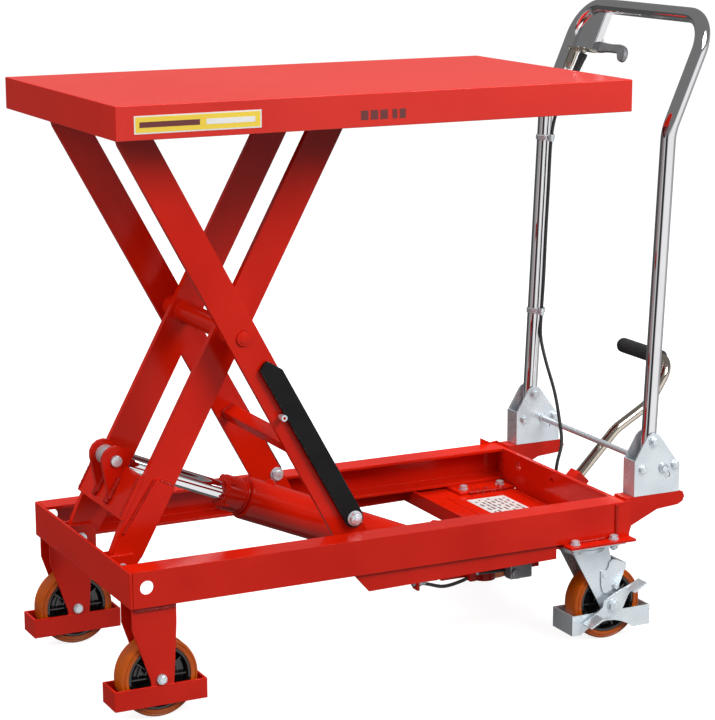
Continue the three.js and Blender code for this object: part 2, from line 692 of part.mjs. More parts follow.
// Sheathed cable from the lever plate down the handle, under the rear plate to the valve lever.
const cableRoute = [
  [577, 142, 930], [568, 146, 908], [552, 160, 868], [540, 168, 828], [534, 171.5, 788], [530, 172, 700],
  [526, 172, 620], [523, 172, 540], [519, 172, 470], [516.5, 168, 436], [516, 150, 398], [512, 110, 347],
  [497, 66, 303], [483, 36, 273], [469, 26, 244], [463, 24, 210], [461, 22, 178], [450, 8, 164],
  [436, -22, 162], [424, -44, 148], [408, -51, 124], [384, -51, 102], [350, -51, 92], [310, -51, 92],
  [268, -51, 93], [238, -51, 84], [205, -51, 80], [176, -51, 88], [158, -51, 93],
];

function releaseCable() {
  const route = new THREE.CatmullRomCurve3(cableRoute.map((p) => new THREE.Vector3(...p)), false, 'centripetal');
  return tubeAlong(route, 60, 3, 8);
}

// ---- build the tree -----------------------------------------------------------------------
// Where a point [x, z] of the table lies in the inner arms' frame.
function inArm([x, z]) {
  const [dx, dz] = [x - scissor.hingeX, z - scissor.hingeZ];
  return [dx * Math.cos(armAngle) + dz * Math.sin(armAngle), -dx * Math.sin(armAngle) + dz * Math.cos(armAngle)];
}

const innerArms = armGroup(scissor.hingeX, scissor.hingeZ, -armAngle);
const outerArms = armGroup(scissor.hingeX, scissor.topZ, armAngle);
const [eyeX, eyeZ] = cylinder.eye;
const ram = armGroup(eyeX, eyeZ, Math.atan2(eyeZ - cylinder.base[1], cylinder.base[0] - eyeX));

part('front_cross_rail', block([front.outer, front.inner], [-rail.outer, rail.outer], [rail.bottom, rail.top]),
  redPaint);
part('rear_cross_plate', rearCrossPlate(), redPaint);
part('pump_tray', pumpTray(), redPaint);
part('pump_body', pumpBody(), redPaint);
part('platform_top', platformTop(), redPaint);

for (const [side, s] of sides) {
  const fixedAt = [fixedWheel.x, s * fixedWheel.y];
  const casterAt = [caster.axleX, s * caster.y];
  part(`side_rail_${side}`, sideRail(s), redPaint);
  part(`rear_corner_bracket_${side}`, rearCornerBracket(s), redPaint);
  part(`fixed_fork_${side}`, fixedFork(s), redPaint);
  part(`fixed_axle_${side}`, fixedAxle(s), zinc);
  part(`fixed_tyre_${side}`, tyre(fixedAt), orangeTyre);
  part(`fixed_rim_${side}`, rim(fixedAt), blackPlastic);
  part(`base_hinge_${side}`, baseHinge(s), redPaint);
  part(`caster_top_plate_${side}`, casterTopPlate(s), zinc);
  part(`caster_fork_${side}`, casterFork(s), zinc);
  part(`caster_guard_${side}`, casterGuard(s), zinc);
  part(`caster_axle_${side}`, casterAxle(s), zinc);
  part(`caster_tyre_${side}`, tyre(casterAt), orangeTyre);
  part(`caster_rim_${side}`, rim(casterAt), blackPlastic);
  part(`brake_pedal_${side}`, brakePedal(s), zinc);
  part(`platform_track_${side}`, platformTrack(s), redPaint);
  part(`handle_bracket_${side}`, handleBracket(s), zinc);
  part(`inner_arm_${side}`, innerArmBar(s), redPaint, innerArms);
  part(`upper_roller_${side}`, roller(18, s, [102, 128], upperPin), zinc, innerArms);
  part(`outer_arm_${side}`, outerArmBar(s), redPaint, outerArms);
  part(`lower_roller_${side}`, roller(22.7, s, [181, 209], upperPin), zinc, outerArms);
  part(`safety_strut_${side}`, safetyStrut(s), blackPaint, outerArms);
}

part('inner_cross_plate', innerCrossPlate(), redPaint, innerArms);
part('scissor_shaft', scissorShaft(), redPaint, innerArms);
part('rod_pin', roundY(rodPin, [-34, 34], inArm(cylinder.eye), 20), zinc, innerArms);
part('outer_cross_angle', outerCrossAngle(), redPaint, outerArms);
part('cylinder_tube', cylinderTube(), redPaint, ram);
part('gland_nut', glandNut(), redPaint, ram);
part('piston_rod', pistonRod(), chrome, ram);
part('pedal_arm', pedalArm(), nickel);
part('pedal_grip', pedalGrip(), blackRubber);
part('handle_tube', handleTube(), chrome);
part('release_lever', releaseLever(), castGrey);
part('lock_rod', roundY(lockRod.radius, [-216, 216], [lockRod.x, lockRod.z], 12), zinc);
part('release_cable', releaseCable(), blackRubber);

export default table;
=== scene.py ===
import json
from math import asin, atan2, cos, pi, radians, sin, tan, tau
from random import Random

import bmesh
import bpy
from mathutils import Matrix, Vector
from mathutils.geometry import interpolate_bezier

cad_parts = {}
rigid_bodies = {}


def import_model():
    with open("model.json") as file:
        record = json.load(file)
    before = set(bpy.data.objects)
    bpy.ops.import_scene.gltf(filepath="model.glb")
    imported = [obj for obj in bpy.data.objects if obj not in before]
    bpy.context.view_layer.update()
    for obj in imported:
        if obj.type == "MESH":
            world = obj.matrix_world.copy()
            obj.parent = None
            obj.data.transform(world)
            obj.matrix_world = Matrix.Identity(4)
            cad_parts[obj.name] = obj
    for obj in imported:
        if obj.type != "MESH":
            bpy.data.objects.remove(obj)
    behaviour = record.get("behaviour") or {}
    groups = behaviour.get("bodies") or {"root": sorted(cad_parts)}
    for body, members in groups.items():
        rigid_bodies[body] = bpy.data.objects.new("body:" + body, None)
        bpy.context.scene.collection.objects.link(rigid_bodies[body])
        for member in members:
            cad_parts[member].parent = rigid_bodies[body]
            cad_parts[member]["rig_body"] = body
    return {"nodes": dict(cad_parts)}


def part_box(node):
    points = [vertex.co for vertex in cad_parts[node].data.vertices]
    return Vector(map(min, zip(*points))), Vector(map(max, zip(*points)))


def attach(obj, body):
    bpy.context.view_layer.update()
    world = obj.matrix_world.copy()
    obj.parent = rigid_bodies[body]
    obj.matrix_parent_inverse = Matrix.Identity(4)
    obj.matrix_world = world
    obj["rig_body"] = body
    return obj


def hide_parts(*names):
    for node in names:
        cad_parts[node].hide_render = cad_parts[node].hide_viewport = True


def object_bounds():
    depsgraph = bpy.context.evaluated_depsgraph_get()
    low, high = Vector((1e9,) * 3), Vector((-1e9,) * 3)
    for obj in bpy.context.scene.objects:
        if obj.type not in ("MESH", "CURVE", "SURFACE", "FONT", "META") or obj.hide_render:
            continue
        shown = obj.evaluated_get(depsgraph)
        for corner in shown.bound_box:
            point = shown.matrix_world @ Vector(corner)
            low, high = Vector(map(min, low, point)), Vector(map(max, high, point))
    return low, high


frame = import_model()
cadLow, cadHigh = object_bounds()

# Lengths are in millimetres from the floor under the middle of the platform, until a piece is placed.
mm = 0.001
sides = (("left", -1), ("right", 1))
platformLow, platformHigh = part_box("platform_top")
tableMiddle = (platformLow.x + platformHigh.x) / 2
workToFrame = Matrix.Translation((tableMiddle, 0, 0)) @ Matrix.Scale(mm, 4)
frameToWork = workToFrame.inverted()


def workBox(node):
    # lowest and highest corner of a frame node, in millimetres
    low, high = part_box(node)
    return frameToWork @ low, frameToWork @ high


# ---- camera -------------------------------------------------------------------------------
view = {"place": (-1554.6, -3316.5, 1274.3), "heading": 26.12, "down": 12.29, "roll": -0.16, "lens": 116.17}

cameraData = bpy.data.cameras.new("camera")
cameraData.sensor_width = 36
cameraData.lens = view["lens"]
cameraData.clip_end = 200
camera = bpy.data.objects.new("camera", cameraData)
bpy.context.scene.collection.objects.link(camera)
place = Matrix.Translation(workToFrame @ Vector(view["place"]))
heading = Matrix.Rotation(-radians(view["heading"]), 4, "Z")
tilt = Matrix.Rotation(radians(90 - view["down"]), 4, "X")
camera.matrix_world = place @ heading @ tilt @ Matrix.Rotation(radians(view["roll"]), 4, "Z")
bpy.context.scene.camera = camera
print("camera placed")


# ---- shader groups ------------------------------------------------------------------------
socketKinds = {"colour": "NodeSocketColor", "value": "NodeSocketFloat"}


def newGroup(name, inputs, outputs):
    group = bpy.data.node_groups.new(name, "ShaderNodeTree")
    for label, kind, value in inputs:
        socket = group.interface.new_socket(name=label, in_out="INPUT", socket_type=socketKinds[kind])
        socket.default_value = value
    for label, kind in outputs:
        group.interface.new_socket(name=label, in_out="OUTPUT", socket_type=socketKinds[kind])
    return group, group.nodes.new("NodeGroupInput").outputs, group.nodes.new("NodeGroupOutput").inputs


def addNode(tree, kind, **settings):
    made = tree.nodes.new(kind)
    for name, value in settings.items():
        setattr(made, name, value)
    return made


def feed(tree, socket, value):
    # gives a socket a number, or another node's output
    if isinstance(value, (int, float)):
        socket.default_value = value
    else:
        tree.links.new(value, socket)


def addNoise(tree, coordinates, scale, detail):
    noise = addNode(tree, "ShaderNodeTexNoise")
    noise.inputs["Detail"].default_value = detail
    tree.links.new(coordinates, noise.inputs["Vector"])
    feed(tree, noise.inputs["Scale"], scale)
    return noise.outputs["Fac"]


def addRange(tree, value, fromLow, fromHigh, toLow=0.0, toHigh=1.0):
    mapped = addNode(tree, "ShaderNodeMapRange")
    tree.links.new(value, mapped.inputs["Value"])
    for label, end in (("From Min", fromLow), ("From Max", fromHigh), ("To Min", toLow), ("To Max", toHigh)):
        feed(tree, mapped.inputs[label], end)
    return mapped.outputs["Result"]


def addMath(tree, operation, first, second):
    made = addNode(tree, "ShaderNodeMath", operation=operation)
    for socket, value in zip(made.inputs, (first, second)):
        feed(tree, socket, value)
    return made.outputs[0]


def addMix(tree, factor, first, second):
    mix = addNode(tree, "ShaderNodeMix", data_type="RGBA")
    tree.links.new(factor, mix.inputs["Factor"])
    tree.links.new(first, mix.inputs["A"])
    tree.links.new(second, mix.inputs["B"])
    return mix.outputs["Result"]


def makeCoatedSurface():
    # cloudy colour, uneven gloss and a fine ripple: powder coat, plating, cast metal, moulded plastic
    group, given, out = newGroup(
        "coatedSurface",
        [("Main Colour", "colour", (0.5, 0.5, 0.5, 1)), ("Cloud Colour", "colour", (0.4, 0.4, 0.4, 1)),
         ("Cloud Scale", "value", 20), ("Cloud Amount", "value", 0.5), ("Ripple Scale", "value", 400),
         ("Low Roughness", "value", 0.2), ("High Roughness", "value", 0.4)],
        [("Colour", "colour"), ("Roughness", "value"), ("Height", "value")])
    place = addNode(group, "ShaderNodeTexCoord").outputs["Object"]
    cloud = addRange(group, addNoise(group, place, given["Cloud Scale"], 4), 0.35, 0.68)
    ripple = addNoise(group, place, given["Ripple Scale"], 2)
    amount = addMath(group, "MULTIPLY", cloud, given["Cloud Amount"])
    group.links.new(addMix(group, amount, given["Main Colour"], given["Cloud Colour"]), out["Colour"])
    mixed = addMath(group, "MULTIPLY", addMath(group, "ADD", cloud, ripple), 0.5)
    group.links.new(addRange(group, mixed, 0.15, 0.85, given["Low Roughness"], given["High Roughness"]),
                    out["Roughness"])
    group.links.new(ripple, out["Height"])
    return group


def makeEdgeWear():
    # a mask that is 1 on worn outside edges, broken up by noise
    group, given, out = newGroup("edgeWear", [("Width", "value", 0.0015), ("Break Up", "value", 120)],
                                 [("Mask", "value")])
    rounded = addNode(group, "ShaderNodeBevel", samples=4)
    group.links.new(given["Width"], rounded.inputs["Radius"])
    dot = addNode(group, "ShaderNodeVectorMath", operation="DOT_PRODUCT")
    group.links.new(rounded.outputs["Normal"], dot.inputs[0])
    group.links.new(addNode(group, "ShaderNodeNewGeometry").outputs["Normal"], dot.inputs[1])
    edge = addRange(group, dot.outputs["Value"], 0.995, 0.9)
    place = addNode(group, "ShaderNodeTexCoord").outputs["Object"]
    patches = addRange(group, addNoise(group, place, given["Break Up"], 5), 0.45, 0.6)
    group.links.new(addMath(group, "MULTIPLY", edge, patches), out["Mask"])
    return group


def makeFloorDust():
    # how dusty a surface is: most at the floor, none above Top Height
    group, given, out = newGroup("floorDust", [("Top Height", "value", 0.1), ("Amount", "value", 0.4)],
                                 [("Mask", "value")])
    place = addNode(group, "ShaderNodeTexCoord").outputs["Object"]
    parts = addNode(group, "ShaderNodeSeparateXYZ")
    group.links.new(place, parts.inputs[0])
    low = addRange(group, parts.outputs["Z"], given["Top Height"], 0.0)
    patches = addRange(group, addNoise(group, place, 45, 6), 0.38, 0.66)
    group.links.new(addMath(group, "MULTIPLY", addMath(group, "MULTIPLY", low, patches), given["Amount"]),
                    out["Mask"])
    return group


coatedSurface = makeCoatedSurface()
edgeWear = makeEdgeWear()
floorDust = makeFloorDust()
print("shader groups made")

# ---- finishes -----------------------------------------------------------------------------
labelLook = {
    "patches": (30, 0.4), "ripple": (500, 0.00003), "roughness": (0.25, 0.35), "coat": 0.3,
    "coatRoughness": 0.1,
}
# metallic, coat, specular and subsurface are left out where they are the usual value
finishes = {
    "redPaint": {
        "slot": "red_paint", "main": (0.66, 0.013, 0.0022), "cloud": (0.47, 0.006, 0.001),
        "patches": (7, 0.5), "ripple": (260, 0.00016), "roughness": (0.12, 0.22), "specular": 0.16,
    },
    # the platform top's red: the same paint as redPaint with lighter colours, painted light falling on the
    # deck from above
    "deckRedPaintedLight": {
        "slot": "red_paint", "main": (0.70, 0.016, 0.004), "cloud": (0.52, 0.007, 0.001),
        "patches": (4, 0.5), "ripple": (200, 0.0001), "roughness": (0.10, 0.18), "specular": 0.42,
    },
    "weldedRed": {
        "slot": "red_paint", "main": (0.48, 0.008, 0.002), "cloud": (0.28, 0.006, 0.002),
        "patches": (90, 0.8), "ripple": (700, 0.0004), "roughness": (0.18, 0.4), "specular": 0.3,
    },
    "blackPaint": {
        "slot": "black_paint", "main": (0.006, 0.0065, 0.007), "cloud": (0.012, 0.012, 0.013),
        "patches": (30, 0.7), "ripple": (500, 0.0002), "roughness": (0.32, 0.5),
        "worn": (0.30, 0.30, 0.31), "wornWidth": 0.0012, "specular": 0.12,
    },
    "zincPlate": {
        "slot": "zinc", "main": (0.74, 0.80, 0.84), "cloud": (0.60, 0.66, 0.71), "patches": (26, 0.7),
        "ripple": (620, 0.00006), "roughness": (0.22, 0.38), "metallic": 0.62,
    },
    "chromePlate": {
        "slot": "chrome", "main": (0.80, 0.80, 0.82), "cloud": (0.70, 0.70, 0.72), "patches": (14, 0.4),
        "ripple": (60, 0.00003), "roughness": (0.03, 0.07), "metallic": 1,
    },
    "nickelPlate": {
        "slot": "nickel", "main": (0.68, 0.61, 0.52), "cloud": (0.55, 0.48, 0.40), "patches": (22, 0.6),
        "ripple": (90, 0.00004), "roughness": (0.09, 0.18), "metallic": 1,
    },
    "orangeTyre": {
        "slot": "orange_tyre", "main": (0.55, 0.10, 0.004), "cloud": (0.36, 0.05, 0.003),
        "patches": (22, 0.7), "ripple": (260, 0.00025), "roughness": (0.20, 0.36), "specular": 0.3,
        "dust": (0.30, 0.20, 0.12), "dustTop": 0.02, "dustAmount": 0.4, "subsurface": 0.06,
    },
    "blackNylon": {
        "slot": "black_plastic", "main": (0.005, 0.0055, 0.006), "cloud": (0.012, 0.012, 0.013),
        "patches": (40, 0.6), "ripple": (300, 0.0001), "roughness": (0.12, 0.26), "coat": 0.3,
        "coatRoughness": 0.08,
    },
    "blackRubber": {
        "slot": "black_rubber", "main": (0.016, 0.016, 0.017), "cloud": (0.032, 0.032, 0.034),
        "patches": (60, 0.7), "ripple": (900, 0.00015), "roughness": (0.42, 0.62),
    },
    "castGrey": {
        "slot": "cast_grey", "main": (0.33, 0.34, 0.36), "cloud": (0.22, 0.23, 0.25),
        "patches": (50, 0.7), "ripple": (420, 0.0003), "roughness": (0.34, 0.52), "metallic": 0.75,
        "worn": (0.62, 0.63, 0.65), "wornWidth": 0.0015,
    },
    "labelYellow": {
        **labelLook, "slot": "red_paint", "main": (0.86, 0.62, 0.05), "cloud": (0.80, 0.55, 0.04),
    },
    "labelWhite": {
        **labelLook, "slot": "red_paint", "main": (0.80, 0.80, 0.78), "cloud": (0.70, 0.70, 0.69),
    },
    "labelInk": {
        **labelLook, "slot": "black_paint", "main": (0.12, 0.010, 0.010), "cloud": (0.08, 0.012, 0.012),
        "roughness": (0.3, 0.4), "coat": 0.2,
    },
}


def makeFinish(name, look):
    material = bpy.data.materials.new(name)
    material.use_nodes = True
    tree = material.node_tree
    shader = tree.nodes["Principled BSDF"]
    usual = {"Metallic": ("metallic", 0), "Coat Weight": ("coat", 0),
             "Coat Roughness": ("coatRoughness", 0.1), "Specular IOR Level": ("specular", 0.5),
             "Subsurface Weight": ("subsurface", 0)}
    for label, (key, value) in usual.items():
        shader.inputs[label].default_value = look.get(key, value)
    shader.inputs["Subsurface Radius"].default_value = (0.006, 0.002, 0.0005)
    surface = addNode(tree, "ShaderNodeGroup", node_tree=coatedSurface)
    given = {"Main Colour": (*look["main"], 1), "Cloud Colour": (*look["cloud"], 1),
             "Cloud Scale": look["patches"][0], "Cloud Amount": look["patches"][1],
             "Ripple Scale": look["ripple"][0], "Low Roughness": look["roughness"][0],
             "High Roughness": look["roughness"][1]}
    for label, value in given.items():
        surface.inputs[label].default_value = value
    colour = surface.outputs["Colour"]
    masks = []
    if "worn" in look:
        wear = addNode(tree, "ShaderNodeGroup", node_tree=edgeWear)
        wear.inputs["Width"].default_value = look["wornWidth"]
        masks.append((wear, look["worn"]))
    if "dust" in look:
        dust = addNode(tree, "ShaderNodeGroup", node_tree=floorDust)
        dust.inputs["Top Height"].default_value = look["dustTop"]
        dust.inputs["Amount"].default_value = look["dustAmount"]
        masks.append((dust, look["dust"]))
    for mask, tint in masks:
        mix = addNode(tree, "ShaderNodeMix", data_type="RGBA")
        mix.inputs["B"].default_value = (*tint, 1)
        tree.links.new(mask.outputs["Mask"], mix.inputs["Factor"])
        tree.links.new(colour, mix.inputs["A"])
        colour = mix.outputs["Result"]
    tree.links.new(colour, shader.inputs["Base Color"])
    tree.links.new(surface.outputs["Roughness"], shader.inputs["Roughness"])
    bump = addNode(tree, "ShaderNodeBump")
    bump.inputs["Strength"].default_value = 0.6
    bump.inputs["Distance"].default_value = look["ripple"][1]
    tree.links.new(surface.outputs["Height"], bump.inputs["Height"])
    tree.links.new(bump.outputs["Normal"], shader.inputs["Normal"])
    return material


materials = {name: makeFinish(name, look) for name, look in finishes.items()}
print("finishes made:", len(materials))


# ---- shaping helpers ----------------------------------------------------------------------
def roundEdges(bm, edges, width, segments=2):
    if edges and width > 0:
        bmesh.ops.bevel(bm, geom=edges, offset=width, offset_type="OFFSET", segments=segments, profile=0.5,
                        affect="EDGES", clamp_overlap=True, material=-1)


def sharpEdges(edges, degrees=30):
    return [e for e in edges if len(e.link_faces) == 2 and e.calc_face_angle(0) > radians(degrees)]


def edgesOf(verts):
    return list({e for v in verts for e in v.link_edges})


def addBox(bm, x, y, z, width=0.8, lean=None):
    # a block between two corners, its edges rounded; lean turns it about its own middle
    verts = bmesh.ops.create_cube(bm, size=1)["verts"]
    size = Matrix.Diagonal((abs(x[1] - x[0]), abs(y[1] - y[0]), abs(z[1] - z[0]), 1))
    centre = Vector((sum(x), sum(y), sum(z))) / 2
    bmesh.ops.transform(bm, matrix=Matrix.Translation(centre) @ (lean or Matrix()) @ size, verts=verts)
    roundEdges(bm, edgesOf(verts), width)


def addTurned(bm, profile, origin, axis, steps=64, closed=False):
    # spins a (distance along the axis, radius) profile round the axis
    quaternion = Vector(axis).to_track_quat("Z", "Y")
    place = Matrix.Translation(Vector(origin)) @ quaternion.to_matrix().to_4x4()
    shape = bmesh.new()
    verts = [shape.verts.new((radius, 0, along)) for along, radius in profile]
    pairs = list(zip(verts, verts[1:] + verts[:1] if closed else verts[1:]))
    edges = [shape.edges.new(pair) for pair in pairs]
    bmesh.ops.spin(shape, geom=verts + edges, cent=(0, 0, 0), axis=(0, 0, 1), angle=tau, steps=steps,
                   use_merge=True)
    bmesh.ops.remove_doubles(shape, verts=shape.verts, dist=0.001)
    bmesh.ops.recalc_face_normals(shape, faces=shape.faces)
    bmesh.ops.transform(shape, matrix=place, verts=shape.verts)
    addMesh(bm, shape)


def bothEnds(profile):
    # half a spun profile, then its mirror
    return profile + [(-along, radius) for along, radius in reversed(profile)]


def addMesh(bm, shape):
    # moves one bmesh's faces into another
    holder = bpy.data.meshes.new("holder")
    shape.to_mesh(holder)
    shape.free()
    bm.from_mesh(holder)
    bpy.data.meshes.remove(holder)


def addRod(bm, start, end, radius, chamfer=0.6, steps=32):
    start, end = Vector(start), Vector(end)
    length = (end - start).length
    half = [(0, 0), (0, radius - chamfer), (chamfer * 0.3, radius - chamfer * 0.3), (chamfer, radius)]
    profile = half + [(length - along, across) for along, across in reversed(half)]
    addTurned(bm, profile, start, end - start, steps)


def addPlate(bm, outline, y0, y1, width=0.8, segments=2):
    # a flat plate with its (x, z) outline between two y
    verts = [bm.verts.new((x, y0, z)) for x, z in outline]
    face = bm.faces.new(verts)
    made = bmesh.ops.extrude_face_region(bm, geom=[face])["geom"]
    moved = [g for g in made if isinstance(g, bmesh.types.BMVert)]
    bmesh.ops.translate(bm, verts=moved, vec=(0, y1 - y0, 0))
    both = verts + moved
    bmesh.ops.recalc_face_normals(bm, faces=list({f for v in both for f in v.link_faces}))
    roundEdges(bm, sharpEdges(edgesOf(both)), width, segments)


def addHexBolt(bm, place, axis, flats=13, height=5.5, washer=9, stub=0):
    # washer, six-sided head with its corners turned down, and the thread end when it is a nut
    place, axis = Vector(place), Vector(axis).normalized()
    rise = 0
    if washer:
        addRod(bm, place, place + axis * 1.6, washer, 0.3)
        rise = 1.6
    head = bmesh.new()
    radius = flats / 2 / cos(pi / 6)
    bmesh.ops.create_cone(head, cap_ends=True, segments=6, radius1=radius, radius2=radius, depth=height)
    roundEdges(head, sharpEdges(head.edges), 0.5)
    turn = axis.to_track_quat("Z", "Y").to_matrix().to_4x4()
    bmesh.ops.transform(head, matrix=Matrix.Translation(place + axis * (rise + height / 2)) @ turn,
                        verts=head.verts)
    addMesh(bm, head)
    crown = [(0, 0), (0, flats * 0.47), (0.7, flats * 0.40), (0.7, 0)]
    addTurned(bm, crown, place + axis * (rise + height), axis, 24)
    if stub:
        addRod(bm, place, place + axis * (rise + height + stub), flats * 0.27, 0.6, 20)


def addTube(bm, path, radius, ringSides=10, swell=None):
    # a round bar along a path; swell gives each point's share of the radius
    curve = bpy.data.curves.new("tubePath", "CURVE")
    curve.dimensions = "3D"
    curve.bevel_depth = radius
    curve.bevel_resolution = ringSides
    curve.use_fill_caps = True
    spline = curve.splines.new("POLY")
    spline.points.add(len(path) - 1)
    for index, place in enumerate(path):
        spline.points[index].co = (*place, 1)
        spline.points[index].radius = swell[index] if swell else 1
    holder = bpy.data.objects.new("tubePath", curve)
    mesh = bpy.data.meshes.new_from_object(holder)
    shape = bmesh.new()
    shape.from_mesh(mesh)
    bmesh.ops.remove_doubles(shape, verts=shape.verts, dist=0.001)
    bmesh.ops.recalc_face_normals(shape, faces=shape.faces)
    addMesh(bm, shape)
    bpy.data.objects.remove(holder)
    bpy.data.curves.remove(curve)
    bpy.data.meshes.remove(mesh)


def bentPath(corners, radii, steps=14):
    # straight runs joined by round bends
    corners = [Vector(c) for c in corners]
    path = [corners[0]]
    for before, corner, after, radius in zip(corners, corners[1:], corners[2:], radii):
        into, out = (corner - before).normalized(), (after - corner).normalized()
        turn = into.angle(out)
        start = corner - into * radius * tan(turn / 2)
        axis = into.cross(out).normalized()
        centre = start + axis.cross(into) * radius
        for step in range(steps + 1):
            path.append(centre + Matrix.Rotation(turn * step / steps, 3, axis) @ (start - centre))
    return path + [corners[-1]]


def smoothPath(places, steps=6):
    # a smooth curve through every place
    places = [Vector(p) for p in places]
    slopes = []
    for index, place in enumerate(places):
        before, after = places[max(index - 1, 0)], places[min(index + 1, len(places) - 1)]
        slopes.append((after - before) / ((after - place).length + (place - before).length))
    path = []
    for start, end, slopeStart, slopeEnd in zip(places, places[1:], slopes, slopes[1:]):
        reach = (end - start).length / 3
        first, second = start + slopeStart * reach, end - slopeEnd * reach
        path += interpolate_bezier(start, first, second, end, steps + 1)[:-1]
    return path + [places[-1]]


weldRandom = Random(11)


def addWeld(bm, places, radius=2.2):
    # a rippled weld bead through the places
    places = [Vector(p) for p in places]
    path, swell = [], []
    for start, end in zip(places, places[1:]):
        count = max(2, int((end - start).length / 1.5))
        for step in range(count):
            wander = Vector([weldRandom.uniform(-0.35, 0.35) for _ in range(3)])
            path.append(start.lerp(end, step / count) + wander)
            swell.append(0.86 + 0.22 * abs(sin(step * 1.15)) + weldRandom.uniform(-0.06, 0.06))
    addTube(bm, path + [places[-1]], radius, 3, swell + [0.5])


def addRingWeld(bm, centre, axis, start, steps, radius):
    # a bead right round an axis; start is the first place from the centre
    turns = [Matrix.Rotation(tau * k / steps, 3, axis) for k in range(steps + 1)]
    addWeld(bm, [centre + turn @ start for turn in turns], radius)


def newPiece(name, bm, body, finish, replaces=(), smoothUnder=32):
    bmesh.ops.transform(bm, matrix=workToFrame, verts=bm.verts)
    mesh = bpy.data.meshes.new(name)
    bm.to_mesh(mesh)
    bm.free()
    mesh.materials.append(materials[finish])
    mesh.polygons.foreach_set("use_smooth", [True] * len(mesh.polygons))
    mesh.set_sharp_from_angle(angle=radians(smoothUnder))
    piece = bpy.data.objects.new(name, mesh)
    bpy.context.scene.collection.objects.link(piece)
    even = piece.modifiers.new("evenShading", "WEIGHTED_NORMAL")
    even.keep_sharp = True
    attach(piece, body)
    if replaces:
        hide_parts(*replaces)
    return piece


def roundedCopy(node, finish, width, segments=2, smoothUnder=50):
    # the frame's own shape with its edges broken
    source = frame["nodes"][node]
    bm = bmesh.new()
    bm.from_mesh(source.data)
    bmesh.ops.transform(bm, matrix=frameToWork, verts=bm.verts)
    bmesh.ops.remove_doubles(bm, verts=bm.verts, dist=0.02)
    bmesh.ops.dissolve_limit(bm, angle_limit=radians(0.6), verts=bm.verts, edges=bm.edges)
    roundEdges(bm, sharpEdges(bm.edges), width, segments)
    return newPiece(f"{node}_shell", bm, source["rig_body"], finish, (node,), smoothUnder)


# ---- plates, channels and arms ------------------------------------------------------------
# how far the edges of the frame's own shapes are rounded; a name without its side stands for both sides
edgeWidths = {
    # the platform top uses the red with painted light from above
    "deckRedPaintedLight": {"platform_top": 2.2},
    "redPaint": {
        "front_cross_rail": 1.4, "rear_cross_plate": 1.2, "pump_tray": 1.2, "pump_body": 1.5,
        "inner_cross_plate": 1.4, "outer_cross_angle": 1.4, "side_rail": 1.8, "rear_corner_bracket": 1.4,
        "fixed_fork": 1.2, "base_hinge": 1.2, "platform_track": 1.2, "inner_arm": 1.4, "outer_arm": 1.4,
    },
    "blackPaint": {"safety_strut": 1.2},
    "zincPlate": {
        "caster_top_plate": 0.9, "caster_fork": 0.9, "caster_guard": 0.7, "brake_pedal": 0.8,
        "handle_bracket": 0.8,
    },
}
for finish, widths in edgeWidths.items():
    for node, width in widths.items():
        for name in [node] if node in frame["nodes"] else [f"{node}_{side}" for side, _ in sides]:
            roundedCopy(name, finish, width)
print("plates, channels and arms rounded")

# ---- wheels -------------------------------------------------------------------------------
wheel = {"radius": 62.5, "half": 19, "rim": 50, "ribs": 10}


def makeTyre(middle):
    r, half = wheel["radius"], wheel["half"]
    flank = [(-half + 0.8, wheel["rim"] + 0.3), (-half, 52), (-half, 55.2), (-half + 1.6, 56),
             (-half + 1.6, 57.4), (-half + 0.7, 58.4), (-half + 2, 61), (-half + 4.2, 62),
             (-half + 5.4, 61.4), (-half + 8, r)]
    bm = bmesh.new()
    addTurned(bm, bothEnds(flank), middle, (0, 1, 0), 96, closed=True)
    return bm


def makeRim(middle):
    dish = [(-19, 8.6), (-19, 15), (-18.2, 16.5), (-8, 18.5), (-6.5, 21), (-6.5, 37), (-8.5, 41.5),
            (-14, 44), (-16.6, 45.2), (-17.6, 46.5), (-17.6, 49), (-17, 50)]
    bm = bmesh.new()
    addTurned(bm, bothEnds(dish), middle, (0, 1, 0), 80, closed=True)
    for face in (-1, 1):
        for rib in range(wheel["ribs"]):
            turn = Matrix.Rotation(tau * rib / wheel["ribs"], 4, "Y")
            shape = bmesh.new()
            addBox(shape, (17, 44), (face * 6, face * 13.5), (-1.6, 1.6), 0.7)
            bmesh.ops.transform(shape, matrix=Matrix.Translation(middle) @ turn, verts=shape.verts)
            addMesh(bm, shape)
        ring = [(face * 6, 30), (face * 8.6, 30.8), (face * 8.6, 33.2), (face * 6, 34)]
        addTurned(bm, ring, middle, (0, 1, 0), 64, closed=True)
    return bm


for kind in ("fixed", "caster"):
    for side, s in sides:
        low, high = workBox(f"{kind}_tyre_{side}")
        middle = (low + high) / 2
        body = f"{kind}_wheel_{side}"
        newPiece(f"{kind}_tyre_{side}_cast", makeTyre(middle), body, "orangeTyre", (f"{kind}_tyre_{side}",))
        newPiece(f"{kind}_rim_{side}_ribbed", makeRim(middle), body, "blackNylon", (f"{kind}_rim_{side}",))
print("wheels made")

# ---- axles and casters --------------------------------------------------------------------
caster = {"swivel": 391, "axle": (433, 62.5), "y": 182, "boltX": (352, 425), "boltY": (-33, 46),
          "boltTop": 179.7, "boltUnder": 171.3, "forkFace": 24.7, "shoe": 2.5}
fixedWheel = {"axle": (-362, 62.5), "y": 188, "forkFace": 24.6}

